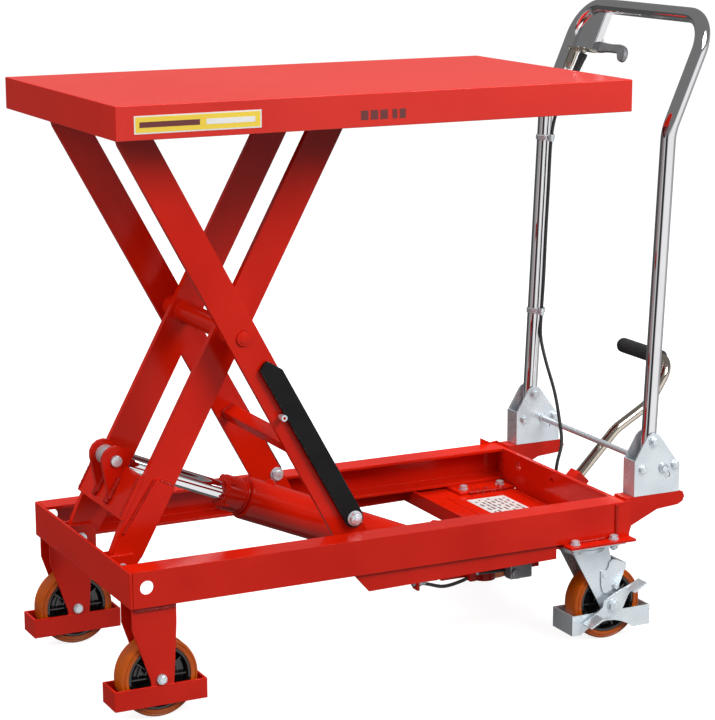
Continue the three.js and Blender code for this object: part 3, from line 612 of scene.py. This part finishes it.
for side, s in sides:
    x, z = fixedWheel["axle"]
    y = s * fixedWheel["y"]
    bm = bmesh.new()
    addRod(bm, (x, y - 28, z), (x, y + 28, z), 8, 0.8)
    for face in (-1, 1):
        addHexBolt(bm, (x, y + face * fixedWheel["forkFace"], z), (0, face, 0), 13, 4, 8)
        addRod(bm, (x, y + face * 19.3, z), (x, y + face * 20.3, z), 14, 0.3)
    newPiece(f"fixed_axle_{side}_bolt", bm, "chassis", "zincPlate", (f"fixed_axle_{side}",))

    x, z = caster["axle"]
    y = s * caster["y"]
    bm = bmesh.new()
    addRod(bm, (x, y - s * 34, z), (x, y + s * 39, z), 8, 0.8)
    addHexBolt(bm, (x, y - s * 31.2, z), (0, -s, 0), 19, 4, 0)
    addHexBolt(bm, (x, y + s * 37.1, z), (0, s, 0), 17, 5, 11.5, 2)
    for face in (-1, 1):
        addRod(bm, (x, y + face * 19.2, z), (x, y + face * 21.2, z), 15, 0.4)
    newPiece(f"caster_axle_{side}_bolt", bm, f"caster_swivel_{side}", "zincPlate", (f"caster_axle_{side}",))

    # ball race between the fork and the top plate, and the nut on the king pin
    bm = bmesh.new()
    race = [(157, 24), (157, 38.2), (160, 39.4), (163, 39.4), (164.4, 37.6), (165.6, 37.6), (167, 39.8),
            (170.4, 39.8), (171, 38.8), (171, 24)]
    addTurned(bm, race, (caster["swivel"], y, 0), (0, 0, 1), 72, closed=True)
    addHexBolt(bm, (caster["swivel"], y, 157), (0, 0, -1), 19, 8, 13)
    newPiece(f"caster_race_{side}", bm, f"caster_swivel_{side}", "zincPlate")

    # brake shoe plate on the outside of the fork
    bm = bmesh.new()
    shoe = [(414, 121), (414.5, 98), (418, 84), (426, 79), (440, 80), (445, 86), (452, 98), (458, 114),
            (462, 129), (452, 134), (436, 139), (430, 134), (428, 126), (424, 121)]
    face = caster["forkFace"] + caster["shoe"]
    addPlate(bm, shoe, y + s * caster["forkFace"], y + s * face, 0.6)
    addPlate(bm, [(440, 122), (462, 116), (464, 129), (442, 138)], y - s * 21, y + s * 26, 0.6)
    addHexBolt(bm, (442, y + s * face, 92), (0, s, 0), 10, 4, 0, 1)
    addRod(bm, (421, y + s * 27, 112), (421, y + s * 29, 112), 4, 0.5)
    newPiece(f"caster_brake_shoe_{side}", bm, f"caster_swivel_{side}", "zincPlate")

    # bolts through the caster's two plates
    bm = bmesh.new()
    for x in caster["boltX"]:
        for out in caster["boltY"]:
            addHexBolt(bm, (x, y + s * out, caster["boltTop"]), (0, 0, 1), 12, 5.5, 8.4)
            addHexBolt(bm, (x, y + s * out, caster["boltUnder"]), (0, 0, -1), 12, 5.5, 8.4, 3)
    newPiece(f"caster_bolts_{side}", bm, "chassis", "zincPlate")
print("axles and casters made")

# ---- scissor pins and rollers -------------------------------------------------------------
scissor = {"foot": (-383, 208.5), "head": (-383, 907.5), "length": 795}
armAngle = asin((scissor["head"][1] - scissor["foot"][1]) / scissor["length"])
armDirection = Vector((cos(armAngle), 0, sin(armAngle)))
innerOrigin = Vector((scissor["foot"][0], 0, scissor["foot"][1]))
outerOrigin = Vector((scissor["head"][0], 0, scissor["head"][1]))


def onInnerArm(along, up, y=0):
    across = Vector((-sin(armAngle), 0, cos(armAngle)))
    return innerOrigin + armDirection * along + across * up + Vector((0, y, 0))


def onOuterArm(along, up, y=0):
    down = Vector((cos(armAngle), 0, -sin(armAngle)))
    across = Vector((sin(armAngle), 0, cos(armAngle)))
    return outerOrigin + down * along + across * up + Vector((0, y, 0))


def shifted(place, y):
    # the same place at another y
    return Vector((place.x, y, place.z))


pivot = onInnerArm(scissor["length"] / 2, 0)
bm = bmesh.new()
addRod(bm, shifted(pivot, -153), shifted(pivot, 153), 12, 1)
addRod(bm, shifted(pivot, -84.6), shifted(pivot, 84.6), 17, 1, 48)
for _, s in sides:
    addRod(bm, shifted(pivot, s * 97.4), shifted(pivot, s * 139.6), 19, 1.5, 48)
    addRod(bm, shifted(pivot, s * 149), shifted(pivot, s * 154.4), 8.4, 1.8, 40)
    addRingWeld(bm, shifted(pivot, s * 151), "Y", Vector((8.6, 0, 0)), 12, 1.6)
    addRingWeld(bm, shifted(pivot, s * 84.5), "Y", Vector((17.4, 0, 0)), 16, 2)
newPiece("scissor_shaft_turned", bm, "inner_arms", "redPaint", ("scissor_shaft",))

rollers = {
    "lower": (onOuterArm, 195, [(-14, 8.6), (-14, 20.5), (-12.8, 22.2), (-11, 22.7)]),
    "upper": (onInnerArm, 115, [(-13, 8.6), (-13, 16), (-11.5, 17.8)]),
}
for side, s in sides:
    for kind, (onArm, y, profile) in rollers.items():
        node = f"{kind}_roller_{side}"
        bm = bmesh.new()
        end = shifted(onArm(scissor["length"], 0), s * y)
        addTurned(bm, bothEnds(profile), end, (0, 1, 0), 56, closed=True)
        newPiece(f"{node}_turned", bm, node, "zincPlate", (node,))

strut = {"along": scissor["length"] - 44, "up": 15, "stopAlong": scissor["length"] - 257, "stopUp": -8.5}
for side, s in sides:
    joint = onOuterArm(strut["along"], strut["up"])
    stop = onOuterArm(strut["stopAlong"], strut["stopUp"])
    bm = bmesh.new()
    addHexBolt(bm, shifted(joint, s * 159.3), (0, s, 0), 17, 6.5, 12.5, 2.5)
    addHexBolt(bm, shifted(joint, s * 139.8), (0, -s, 0), 17, 6, 12)
    socket = [(0, 0), (0, 4.6), (0.5, 5.2), (7.4, 5.2), (8, 4.7), (8, 2.6), (5, 2.2), (5, 0)]
    addTurned(bm, socket, shifted(stop, s * 158), (0, s, 0), 32)
    addRod(bm, shifted(stop, s * 149.8), shifted(stop, s * 158.2), 4, 0.3)
    addHexBolt(bm, shifted(stop, s * 139.8), (0, -s, 0), 10, 4, 7)
    newPiece(f"strut_bolts_{side}", bm, "outer_arms", "zincPlate")

    # pin heads at the two hinges and the roller shafts
    bm = bmesh.new()
    foot, head = innerOrigin, outerOrigin
    for y, face in ((s * 77.6, -s), (s * 108.2, s)):
        addRod(bm, shifted(foot, y), (foot.x, y + face * 3.4, foot.z), 9.6, 1.1)
    newPiece(f"base_pins_{side}", bm, "chassis", "zincPlate")
    bm = bmesh.new()
    for y, face in ((s * 131.8, -s), (s * 158.2, s)):
        addRod(bm, shifted(head, y), (head.x, y + face * 3.2, head.z), 9.4, 1.1)
    newPiece(f"platform_pins_{side}", bm, "platform", "zincPlate")
    bm = bmesh.new()
    end = onOuterArm(scissor["length"], 0)
    addRod(bm, shifted(end, s * 150.2), shifted(end, s * 180.6), 13, 1.4, 40)
    newPiece(f"roller_bosses_{side}", bm, "outer_arms", "redPaint")
    bm = bmesh.new()
    end = onInnerArm(scissor["length"], 0)
    addRod(bm, shifted(end, s * 97.2), shifted(end, s * 101.6), 12, 1, 40)
    addRod(bm, shifted(end, s * 128.4), shifted(end, s * 130.8), 11, 0.8, 40)
    newPiece(f"upper_roller_bosses_{side}", bm, "inner_arms", "redPaint")
print("pins, rollers and strut bolts made")

# ---- hydraulic ram ------------------------------------------------------------------------
ram = {"eye": Vector((-359.5, 0, 358)), "base": Vector((212, 0, 120))}
ramAxis = (ram["base"] - ram["eye"]).normalized()
ramUp = Vector((-ramAxis.z, 0, ramAxis.x))


def onRam(along, up=0, y=0):
    return ram["eye"] + ramAxis * along + ramUp * up + Vector((0, y, 0))


bm = bmesh.new()
barrel = [(242.4, 0), (242.4, 32.6), (243.2, 34.4), (245, 35), (586, 35), (592, 33.4), (596, 29), (596, 0)]
addTurned(bm, barrel, ram["eye"], ramAxis, 96)
addRod(bm, onRam(619, 0, -14), onRam(619, 0, 14), 17, 1.2, 48)
lean = Matrix.Rotation(atan2(-ramAxis.z, ramAxis.x), 4, "Y")
middle = onRam(603)
addBox(bm, (middle.x - 14, middle.x + 14), (-14, 14), (middle.z - 16, middle.z + 16), 1.2, lean)
addRingWeld(bm, onRam(588), ramAxis, ramUp * 35.2, 24, 2)
port = onRam(281.7, 33)
addTurned(bm, [(0, 0), (0, 9), (4.5, 8.4), (5.4, 7.4), (5.4, 0)], port, ramUp, 40)
addHexBolt(bm, port + ramUp * 4.6, ramUp, 9, 3, 0)
newPiece("ram_barrel_turned", bm, "ram_barrel", "redPaint", ("cylinder_tube",))

bm = bmesh.new()
gland = [(203, 15.8), (203, 24.4), (204.2, 27), (206, 28), (230.6, 28), (232.4, 27.4), (233.4, 25.4),
         (237.4, 25.4), (238.2, 27.4), (239.4, 28), (241, 28), (241.8, 26.4), (241.8, 15.8)]
addTurned(bm, gland, ram["eye"], ramAxis, 96, closed=True)
for k in range(4):
    tooth = bmesh.new()
    addBox(tooth, (203.6, 214), (-5, 5), (26, 30.4), 0.8)
    turn = Matrix.Rotation(tau * (k + 0.5) / 4, 4, "X")
    axisTurn = Matrix((ramAxis, (0, 1, 0), ramUp)).transposed().to_4x4()
    bmesh.ops.transform(tooth, matrix=Matrix.Translation(ram["eye"]) @ axisTurn @ turn, verts=tooth.verts)
    addMesh(bm, tooth)
newPiece("gland_nut_turned", bm, "ram_barrel", "redPaint", ("gland_nut",))

bm = bmesh.new()
rod = [(31, 0), (31, 14), (32.4, 15), (268, 15), (268, 26.5), (288, 26.5), (288, 0)]
addTurned(bm, rod, ram["eye"], ramAxis, 72)
newPiece("piston_rod_polished", bm, "ram_rod", "chromePlate", ("piston_rod",))
bm = bmesh.new()
addRod(bm, onRam(0, 0, -21.4), onRam(0, 0, 21.4), 15.4, 1.6, 56)
addTurned(bm, [(10, 0), (10, 12.6), (31.6, 12.6), (31.6, 0)], ram["eye"], ramAxis, 48)
newPiece("rod_eye", bm, "ram_rod", "zincPlate")
bm = bmesh.new()
addRod(bm, onRam(0, 0, -35), onRam(0, 0, 35), 9, 1.4, 48)
newPiece("rod_pin_turned", bm, "ram_rod", "zincPlate", ("rod_pin",))
print("ram made")

# ---- push handle --------------------------------------------------------------------------
handle = {"y": 193, "radius": 12.5, "foot": (508.8, 292), "bend": (534.8, 838), "bar": (612, 1016.5),
          "pivot": (510.5, 330), "bends": (90, 60, 60, 90)}
loopLean = atan2(handle["bar"][0] - handle["bend"][0], handle["bar"][1] - handle["bend"][1])
loopUp = Vector((sin(loopLean), 0, cos(loopLean)))
loopBack = Vector((cos(loopLean), 0, -sin(loopLean)))


def onLoop(y, height, back=0):
    # a place on the plane of the handle's upper part: height is above the floor along that plane
    foot = Vector((handle["bend"][0], y, handle["bend"][1]))
    return foot + loopUp * ((height - foot.z) / cos(loopLean)) + loopBack * back


corners = (handle["foot"], handle["bend"], handle["bar"])
legs = [[(x, s * handle["y"], z) for x, z in corners] for _, s in sides]
bm = bmesh.new()
addTube(bm, bentPath(legs[0] + legs[1][::-1], handle["bends"], 18), handle["radius"], 14)
newPiece("handle_tube_bent", bm, "push_handle", "chromePlate", ("handle_tube",))

bm = bmesh.new()
px, pz = handle["pivot"]
for _, s in sides:
    addRod(bm, (px, s * 172, pz), (px, s * 214, pz), 6, 0.6)
    addHexBolt(bm, (px, s * 210.2, pz), (0, s, 0), 13, 4.4, 9)
    addHexBolt(bm, (px, s * 175.8, pz), (0, -s, 0), 13, 4.4, 9)
newPiece("handle_pivot_bolts", bm, "push_handle", "zincPlate")

# plate that carries the release lever: welded into the loop's corner, with a folded edge and a foot
bm = bmesh.new()
leanTurn = Matrix.Rotation(loopLean, 4, "Y")
at = onLoop(149, 979)
addBox(bm, (at.x - 1.4, at.x + 1.4), (116, 182), (at.z - 38, at.z + 38), 0.6, leanTurn)
at = onLoop(117.5, 979, 6)
addBox(bm, (at.x - 7, at.x + 7), (116, 119), (at.z - 38, at.z + 38), 0.8, leanTurn)
newPiece("lever_plate", bm, "push_handle", "chromePlate")
bm = bmesh.new()
at = onLoop(152, 942)
addBox(bm, (at.x - 9, at.x + 7), (110, 195), (at.z - 1.5, at.z + 1.5), 0.7, leanTurn)
for y in (166, 146):
    addRod(bm, onLoop(y, 945), onLoop(y, 938), 6.5, 0.6)
leverPivot = Vector((590, 134, 953))
addRod(bm, leverPivot - loopBack * 6, leverPivot + loopBack * 17, 5, 0.8)
addHexBolt(bm, leverPivot + loopBack * 13.6, loopBack, 10, 4, 7)
ferrule = [(0, 0), (0, 5), (1, 6.6), (26, 6.6), (27.5, 5.6), (34, 5.2), (35, 4), (35, 0)]
addTurned(bm, ferrule, onLoop(170, 940), -loopUp, 40)
newPiece("lever_foot", bm, "push_handle", "nickelPlate")

lever = {
    "thick": 9, "knots": (
        ((-11, 6), (-13, -6), (-9, -11), (0, -11)), ((0, -11), (12, -13), (22, -12), (34, -10)),
        ((34, -10), (46, -9), (62, -9), (72, -9)), ((72, -9), (80, -9), (81, -14), (85, -19)),
        ((85, -19), (92, -25), (99, -24), (103, -19)), ((103, -19), (107, -8), (100, 7), (77, 6.5)),
        ((77, 6.5), (62, 5), (40, 4), (14, 9)), ((14, 9), (8, 20), (4, 24), (-2, 24)),
        ((-2, 24), (-8, 23), (-10, 16), (-11, 6))),
}
outline = []
for start, first, second, end in lever["knots"]:
    curve = interpolate_bezier(*[Vector((*p, 0)) for p in (start, first, second, end)], 7)
    outline += [(p.x, p.y) for p in curve[:-1]]
bm = bmesh.new()
addPlate(bm, outline, -lever["thick"] / 2, lever["thick"] / 2, 2.2, 3)
# the outline's x runs inwards along -Y and its height runs up the handle
leverTurn = Matrix(((0, -1, 0), loopBack, loopUp)).transposed().to_4x4()
bmesh.ops.transform(bm, matrix=Matrix.Translation(leverPivot + loopBack * 9) @ leverTurn, verts=bm.verts)
bmesh.ops.recalc_face_normals(bm, faces=bm.faces)
newPiece("release_lever_cast", bm, "release_lever", "castGrey", ("release_lever",), 60)
print("handle and lever made")

# ---- handle brackets and lock rod ---------------------------------------------------------
bracket = {"inner": 176, "outer": 210, "bolts": ((490, 285), (553, 286))}
for side, s in sides:
    bm = bmesh.new()
    for x, z in bracket["bolts"]:
        addRod(bm, (x, s * 177, z), (x, s * 209, z), 5, 0.4)
        addHexBolt(bm, (x, s * bracket["outer"], z), (0, s, 0), 13, 4, 0, 1.2)
        addHexBolt(bm, (x, s * bracket["inner"], z), (0, -s, 0), 13, 4.4, 8)
    newPiece(f"bracket_bolts_{side}", bm, "chassis", "zincPlate")

lock = {"place": (530, 283), "radius": 5, "half": 216}
x, z = lock["place"]
bm = bmesh.new()
addRod(bm, (x, -lock["half"], z), (x, lock["half"], z), lock["radius"], 1)
for _, s in sides:
    addRod(bm, (x, s * 210.5, z), (x, s * 212, z), 9, 0.3)
    addRod(bm, (x, s * 174, z), (x, s * 175.4, z), 9, 0.3)
    clip = [(x + 7.4 * cos(k * tau / 20), s * 213.2, z + 7.4 * sin(k * tau / 20)) for k in range(17)]
    addTube(bm, clip, 1, 3)
newPiece("lock_rod_turned", bm, "lock_rod", "zincPlate", ("lock_rod",))
print("brackets and lock rod made")

# ---- foot pedal ---------------------------------------------------------------------------
pedal = {"y": 12, "pivot": (412, 135), "radius": 9, "grip": 13.5, "gripFrom": 44, "gripTo": 175,
         "flutes": 22, "fluteDepth": 0.9, "bends": (60, 60, 34)}
pedalCorners = [(499, 12, 215.5), (578, 12, 295), (645, 12, 333), (690, 12, 404), (690, 169, 404)]
bm = bmesh.new()
addTube(bm, bentPath(pedalCorners, pedal["bends"], 16), pedal["radius"], 12)
newPiece("pedal_tube", bm, "foot_pedal", "nickelPlate", ("pedal_arm",))

bm = bmesh.new()
px, pz = pedal["pivot"]
crank = [(px - 6, pz - 12), (px + 8, pz - 13), (470, 136), (500, 166), (504, 200), (494, 214), (478, 210),
         (478, 186), (466, 158), (px + 4, pz + 11), (px - 8, pz + 10), (px - 13, pz)]
addPlate(bm, crank, pedal["y"] - 8, pedal["y"] + 8, 1.6)
quarter = Matrix.Rotation(-pi / 4, 4, "Y")
addBox(bm, (481.5, 511.5), (pedal["y"] - 15, pedal["y"] + 15), (197, 225), 1.6, quarter)
newPiece("pedal_crank", bm, "foot_pedal", "redPaint")
bm = bmesh.new()
addHexBolt(bm, (px, pedal["y"] - 16, pz), (0, -1, 0), 13, 5, 8)
addHexBolt(bm, (px, pedal["y"] + 16, pz), (0, 1, 0), 13, 5, 8)
newPiece("pedal_pivot_bolts", bm, "chassis", "zincPlate")


def addFluted(bm, stations, flutes, x, z):
    # rings of alternating radius along Y, bridged and capped
    rings = []
    for y, radius, depth in stations:
        verts = bmesh.ops.create_circle(bm, segments=flutes * 4, radius=1)["verts"]
        for index, vert in enumerate(verts):
            reach = radius - (depth if index % 4 in (0, 3) else 0)
            around = atan2(vert.co.y, vert.co.x)
            vert.co = Vector((x + reach * cos(around), y, z + reach * sin(around)))
        rings.append(edgesOf(verts))
    for first, second in zip(rings, rings[1:]):
        bmesh.ops.bridge_loops(bm, edges=first + second)
    bmesh.ops.holes_fill(bm, edges=bm.edges)
    bmesh.ops.recalc_face_normals(bm, faces=bm.faces)


x, _, z = pedalCorners[3]
start, end, grip = pedal["gripFrom"], pedal["gripTo"], pedal["grip"]
bm = bmesh.new()
flute = pedal["fluteDepth"]
stations = [(start, 10, 0), (start, 12.6, 0), (start + 1.5, grip, 0), (start + 6, grip, 0),
            (start + 7, grip, flute), (end - 12, grip, flute), (end - 11, grip, 0), (end - 6, grip - 0.4, 0),
            (end - 2, grip - 2.6, 0), (end, grip - 6, 0)]
addFluted(bm, stations, pedal["flutes"], x, z)
newPiece("pedal_grip_fluted", bm, "foot_pedal", "blackRubber", ("pedal_grip",), 40)
print("foot pedal made")

# ---- release cable ------------------------------------------------------------------------
cableRoute = [
    (577, 142, 930), (568, 146, 908), (552, 160, 868), (540, 168, 828), (534, 171.5, 788), (530, 172, 700),
    (526, 172, 620), (523, 172, 540), (519, 172, 470), (516.5, 168, 436), (516, 150, 398), (512, 110, 347),
    (497, 66, 303), (483, 36, 273), (469, 26, 244), (463, 24, 210), (461, 22, 178), (450, 8, 164),
    (436, -22, 162), (424, -44, 148), (408, -51, 124), (384, -51, 102), (350, -51, 92), (310, -51, 92),
    (268, -51, 93), (238, -51, 84), (205, -51, 80), (176, -51, 88), (158, -51, 93),
]
bm = bmesh.new()
addTube(bm, smoothPath(cableRoute), 3, 6)
newPiece("release_cable_sheath", bm, "chassis", "blackRubber", ("release_cable",))
bm = bmesh.new()
boot = [(0, 0), (0, 6.4), (2, 7.4), (8, 7.4), (12, 6.8), (34, 6.2), (42, 4.4), (46, 3.4), (46, 0)]
addTurned(bm, boot, (579, 141, 936), Vector((-11, 4, -26)), 32)
newPiece("cable_boot", bm, "push_handle", "blackRubber")
bm = bmesh.new()
for x, y, z in ((534, 171.5, 788), (519.6, 172, 480)):
    legX = x + 0.6
    band = [(legX + 15 * cos(a), 193 + 15 * sin(a), z) for a in [tau * k / 28 for k in range(29)]]
    for shift in (-3, 0, 3):
        addTube(bm, [(bx, by, bz + shift) for bx, by, bz in band], 1.7, 3)
    addRod(bm, (x, y, z - 6), (x, y, z + 6), 5, 0.8, 24)
newPiece("cable_clips", bm, "push_handle", "zincPlate")
print("cable made")

# ---- pump fittings ------------------------------------------------------------------------
bm = bmesh.new()
addBox(bm, (150, 198), (-45.6, -41.6), (90, 110), 0.8)
addBox(bm, (151, 156), (-60, -42), (82, 106), 0.8)
addBox(bm, (250, 262), (-62, -46), (84, 112), 1)
addHexBolt(bm, (236, -46, 130), (0, -1, 0), 13, 5, 9)
newPiece("cable_lugs", bm, "chassis", "redPaint")
bm = bmesh.new()
addRod(bm, (146, -51, 93), (170, -51, 92.4), 5, 0.6, 24)
addHexBolt(bm, (157, -51, 93), (1, 0, 0), 12, 5, 0)
addHexBolt(bm, (262, -54, 98), (1, 0, 0), 12, 4, 7)
addBox(bm, (322, 364), (-72, -46), (80, 104), 2.4)
addRod(bm, (330, -72, 92), (330, -77, 92), 7, 1)
newPiece("valve_block", bm, "chassis", "castGrey")
print("pump fittings made")

# ---- welds --------------------------------------------------------------------------------
# bead radius, then the places it runs through on one side; the other side is its mirror
frameWelds = (
    (2.6, (-404, 213.4, 177.6), (-338, 213.4, 177.6)), (2, (-404, 213.4, 174.6), (-338, 213.4, 174.6)),
    (2.6, (435, 221.2, 184), (434, 220.4, 210), (434, 220.2, 236)),
    (2, (-404, 162.8, 179.2), (-338, 162.8, 179.2)),
    (2.4, (362, 220.6, 181), (414, 220.6, 181)), (2.6, (352, 129.4, 178), (430, 129.4, 178)),
    (2, (445, 172, 182), (445, 134, 182)), (2, (466.6, 178, 180.4), (466.6, 208, 180.4)),
    (1.8, (-406.4, 176.6, 184), (-406.4, 176.6, 234)), (1.8, (445.6, 177.2, 184), (445.6, 177.2, 234)),
    (2, (-405, 77.4, 182.4), (-360, 77.4, 182.4)), (2, (-405, 108.8, 182.4), (-360, 108.8, 182.4)),
    (2, (276, 209.6, 176), (326, 209.6, 176)),
)
bm = bmesh.new()
for _, s in sides:
    for radius, *places in frameWelds:
        addWeld(bm, [(x, s * y, z) for x, y, z in places], radius)
newPiece("frame_welds", bm, "chassis", "weldedRed", (), 60)

# the same on the inner arms: each place is along the arm, up from its middle and out from the table's middle
innerWelds = (
    (4, (84, 34, 20.4), (100, 34.6, 20.4), (122, 34, 20.4)),
    (4, (84, 34, 32.6), (100, 34.6, 32.6), (122, 34, 32.6)),
    (3.6, (80, 34.6, 20), (79, 35, 33)), (3.6, (85, 34.6, 20), (84, 35, 33)),
    (2.4, (72, 33, 93), (138, 33, 93)), (2, (147, 1, 99.5), (147, -24, 99.5)),
    (2, (144, 9.6, 98.6), (48, 18.6, 98.6)),
)
bm = bmesh.new()
for _, s in sides:
    for radius, *places in innerWelds:
        addWeld(bm, [onInnerArm(along, up, s * y) for along, up, y in places], radius)
newPiece("inner_arm_welds", bm, "inner_arms", "weldedRed", (), 60)

bm = bmesh.new()
for _, s in sides:
    y = s * 139.4
    addWeld(bm, [onOuterArm(599, 9, y), onOuterArm(599, -14, y), onOuterArm(620, -14, y)], 2)
newPiece("outer_arm_welds", bm, "outer_arms", "weldedRed", (), 60)

tray = {"floor": 175, "bracket": 179.7, "bracketFrom": 130, "drops": 46, "x": (352, 425), "y": (118, 148),
        "drop": (0.9, 2.4)}
bm = bmesh.new()
spatterRandom = Random(3)
for _ in range(tray["drops"]):
    x, y = spatterRandom.uniform(*tray["x"]), spatterRandom.uniform(*tray["y"])
    z = tray["floor"] if y < tray["bracketFrom"] else tray["bracket"]
    size = spatterRandom.uniform(*tray["drop"])
    blob = bmesh.ops.create_icosphere(bm, subdivisions=2, radius=size)["verts"]
    bmesh.ops.transform(bm, matrix=Matrix.Translation((x, y, z + size * 0.2)), verts=blob)
newPiece("tray_spatter", bm, "chassis", "weldedRed")

# creases across the tray floor, and the fin on the far rail's end
bm = bmesh.new()
addBox(bm, (433, 437), (-126, 112), (174, 176.6), 1)
addBox(bm, (306, 309), (-126, 126), (174, 176.2), 0.9)
addPlate(bm, [(425, 236), (425, 248.5), (446, 238), (446, 236)], 219.6, 222.2, 0.4)
newPiece("tray_ribs", bm, "chassis", "redPaint")
print("welds laid")

# ---- labels -------------------------------------------------------------------------------
near = -platformHigh.y / mm
# name, finish, how proud its face and its back are, edge rounding, heights, and each bar's two ends
sideLabels = (
    ("side_label_base", "labelWhite", 0.35, 0, 0.1, (889, 915), ((-400, -204),)),
    ("side_label_field", "labelYellow", 0.5, 0.3, 0.05, (891, 913), ((-398, -206),)),
    ("side_capacity_bars", "labelInk", 0.3, 0, 0.05, (891, 905),
     ((-44, -32), (-28, -16), (-12, 0), (8, 16), (20, 30))),
    ("side_label_bar_dark", "labelInk", 0.65, 0.45, 0.05, (898, 906), ((-392, -300),)),
    ("side_label_bar_pale", "labelWhite", 0.65, 0.45, 0.05, (898, 906), ((-290, -214),)),
)
for name, finish, faceOut, backOut, width, heights, spans in sideLabels:
    bm = bmesh.new()
    for span in spans:
        addBox(bm, span, (near - faceOut, near - backOut), heights, width)
    newPiece(name, bm, "platform", finish)

floorLabel = {"x": (330, 404), "y": (-4, 98), "rows": 7, "rowStep": 9.4, "bar": 3.6}
z = tray["floor"]
bm = bmesh.new()
addBox(bm, floorLabel["x"], floorLabel["y"], (z, z + 0.5), 0.15)
newPiece("tray_label_base", bm, "chassis", "labelWhite")
bm = bmesh.new()
labelRandom = Random(5)
for row in range(floorLabel["rows"]):
    x = floorLabel["x"][0] + 7 + row * floorLabel["rowStep"]
    y = floorLabel["y"][0] + 6
    while y < floorLabel["y"][1] - 14:
        length = labelRandom.uniform(5, 17)
        addBox(bm, (x, x + floorLabel["bar"]), (y, y + length), (z + 0.4, z + 0.7), 0.05)
        y += length + labelRandom.uniform(3, 12)
newPiece("tray_label_bars", bm, "chassis", "labelInk")
print("labels made")

# ---- floor and light ----------------------------------------------------------------------
studio = {
    "floorSize": 60, "floorColour": (0.35, 0.35, 0.35), "floorGlow": 0.86, "skyLight": 0.5,
    "groundLight": 0.1, "horizonGlow": 0.2, "backdrop": 1.1,
    # brightness by direction: from behind the object round its left, the camera at 0, its right and back
    "ring": ((-180, 0.12), (-104, 0.07), (-88, 0.30), (-56, 0.42), (-46, 0.75), (-40, 0.06), (-14, 0.02),
             (-4, 0.9), (12, 1.0), (82, 1.0), (98, 0.45), (140, 0.4), (168, 0.14), (180, 0.12)),
    # name, place, aimed at, width, height, watts, shows in reflections
    "lamps": (
        ("keyLamp", (1.2, -2.4, 2.6), (0.0, 0.0, 0.6), 1.8, 1.8, 92, True),
        ("leftLamp", (-3.6, -1.2, 2.4), (0.0, 0.0, 0.5), 1.2, 2.6, 64, False),
        ("topLamp", (0.2, 0.4, 3.4), (0.0, 0.0, 0.6), 2.6, 2.0, 122, False),
        ("backLamp", (1.0, 3.4, 2.2), (0.0, 0.0, 0.5), 2.6, 1.6, 30, False),
    ),
}
bm = bmesh.new()
bmesh.ops.create_circle(bm, cap_ends=True, segments=64, radius=studio["floorSize"])
mesh = bpy.data.meshes.new("studioFloor")
bm.to_mesh(mesh)
bm.free()
floorMaterial = bpy.data.materials.new("studioFloor")
floorMaterial.use_nodes = True
floorShader = floorMaterial.node_tree.nodes["Principled BSDF"]
floorShader.inputs["Base Color"].default_value = (*studio["floorColour"], 1)
floorShader.inputs["Roughness"].default_value = 0.9
floorShader.inputs["Emission Color"].default_value = (1, 1, 1, 1)
floorShader.inputs["Emission Strength"].default_value = studio["floorGlow"]
mesh.materials.append(floorMaterial)
studioFloor = bpy.data.objects.new("studioFloor", mesh)
studioFloor.location.z = cadLow.z - 0.0005
studioFloor.visible_glossy = False
studioFloor.visible_diffuse = False
bpy.context.scene.collection.objects.link(studioFloor)


def addGrey(tree, level):
    grey = addNode(tree, "ShaderNodeCombineColor")
    for channel in grey.inputs[:3]:
        feed(tree, channel, level)
    return grey.outputs["Color"]


# white behind the object, a soft dome for the light, and a ring of bright and dark for plated parts to show
world = bpy.data.worlds.new("studio")
world.use_nodes = True
bpy.context.scene.world = world
tree = world.node_tree
towards = addNode(tree, "ShaderNodeTexCoord").outputs["Generated"]
direction = addNode(tree, "ShaderNodeSeparateXYZ")
tree.links.new(towards, direction.inputs[0])
toCamera = atan2(camera.location.y, camera.location.x)
spun = addNode(tree, "ShaderNodeVectorRotate", rotation_type="Z_AXIS")
spun.inputs["Angle"].default_value = -toCamera
tree.links.new(towards, spun.inputs["Vector"])
spunParts = addNode(tree, "ShaderNodeSeparateXYZ")
tree.links.new(spun.outputs["Vector"], spunParts.inputs[0])
around = addMath(tree, "ARCTAN2", spunParts.outputs["Y"], spunParts.outputs["X"])
ramp = addNode(tree, "ShaderNodeValToRGB")
while len(ramp.color_ramp.elements) < len(studio["ring"]):
    ramp.color_ramp.elements.new(0.5)
for element, (angle, value) in zip(ramp.color_ramp.elements, studio["ring"]):
    element.position = (angle + 180) / 360
    element.color = (value, value, value, 1)
tree.links.new(addRange(tree, around, -pi, pi), ramp.inputs["Fac"])
aboveRing = addRange(tree, direction.outputs["Z"], 0.02, 0.14)
mirrored = addMix(tree, aboveRing, ramp.outputs["Color"], addGrey(tree, studio["horizonGlow"]))
rise = addRange(tree, direction.outputs["Z"], -0.1, 0.3, studio["groundLight"], studio["skyLight"])
ray = addNode(tree, "ShaderNodeLightPath")
seen = addMix(tree, ray.outputs["Is Glossy Ray"], addGrey(tree, rise), mirrored)
seen = addMix(tree, ray.outputs["Is Camera Ray"], seen, addGrey(tree, studio["backdrop"]))
tree.links.new(seen, tree.nodes["Background"].inputs["Color"])

for name, place, target, width, height, power, mirrored in studio["lamps"]:
    lampData = bpy.data.lights.new(name, "AREA")
    lampData.shape = "RECTANGLE"
    lampData.size, lampData.size_y = width, height
    lampData.energy = power
    lamp = bpy.data.objects.new(name, lampData)
    lamp.location = place
    lamp.visible_glossy = mirrored
    lamp.rotation_euler = (Vector(target) - Vector(place)).to_track_quat("-Z", "Y").to_euler()
    bpy.context.scene.collection.objects.link(lamp)
bpy.context.scene.view_settings.view_transform = "Standard"
print("floor and lamps set")
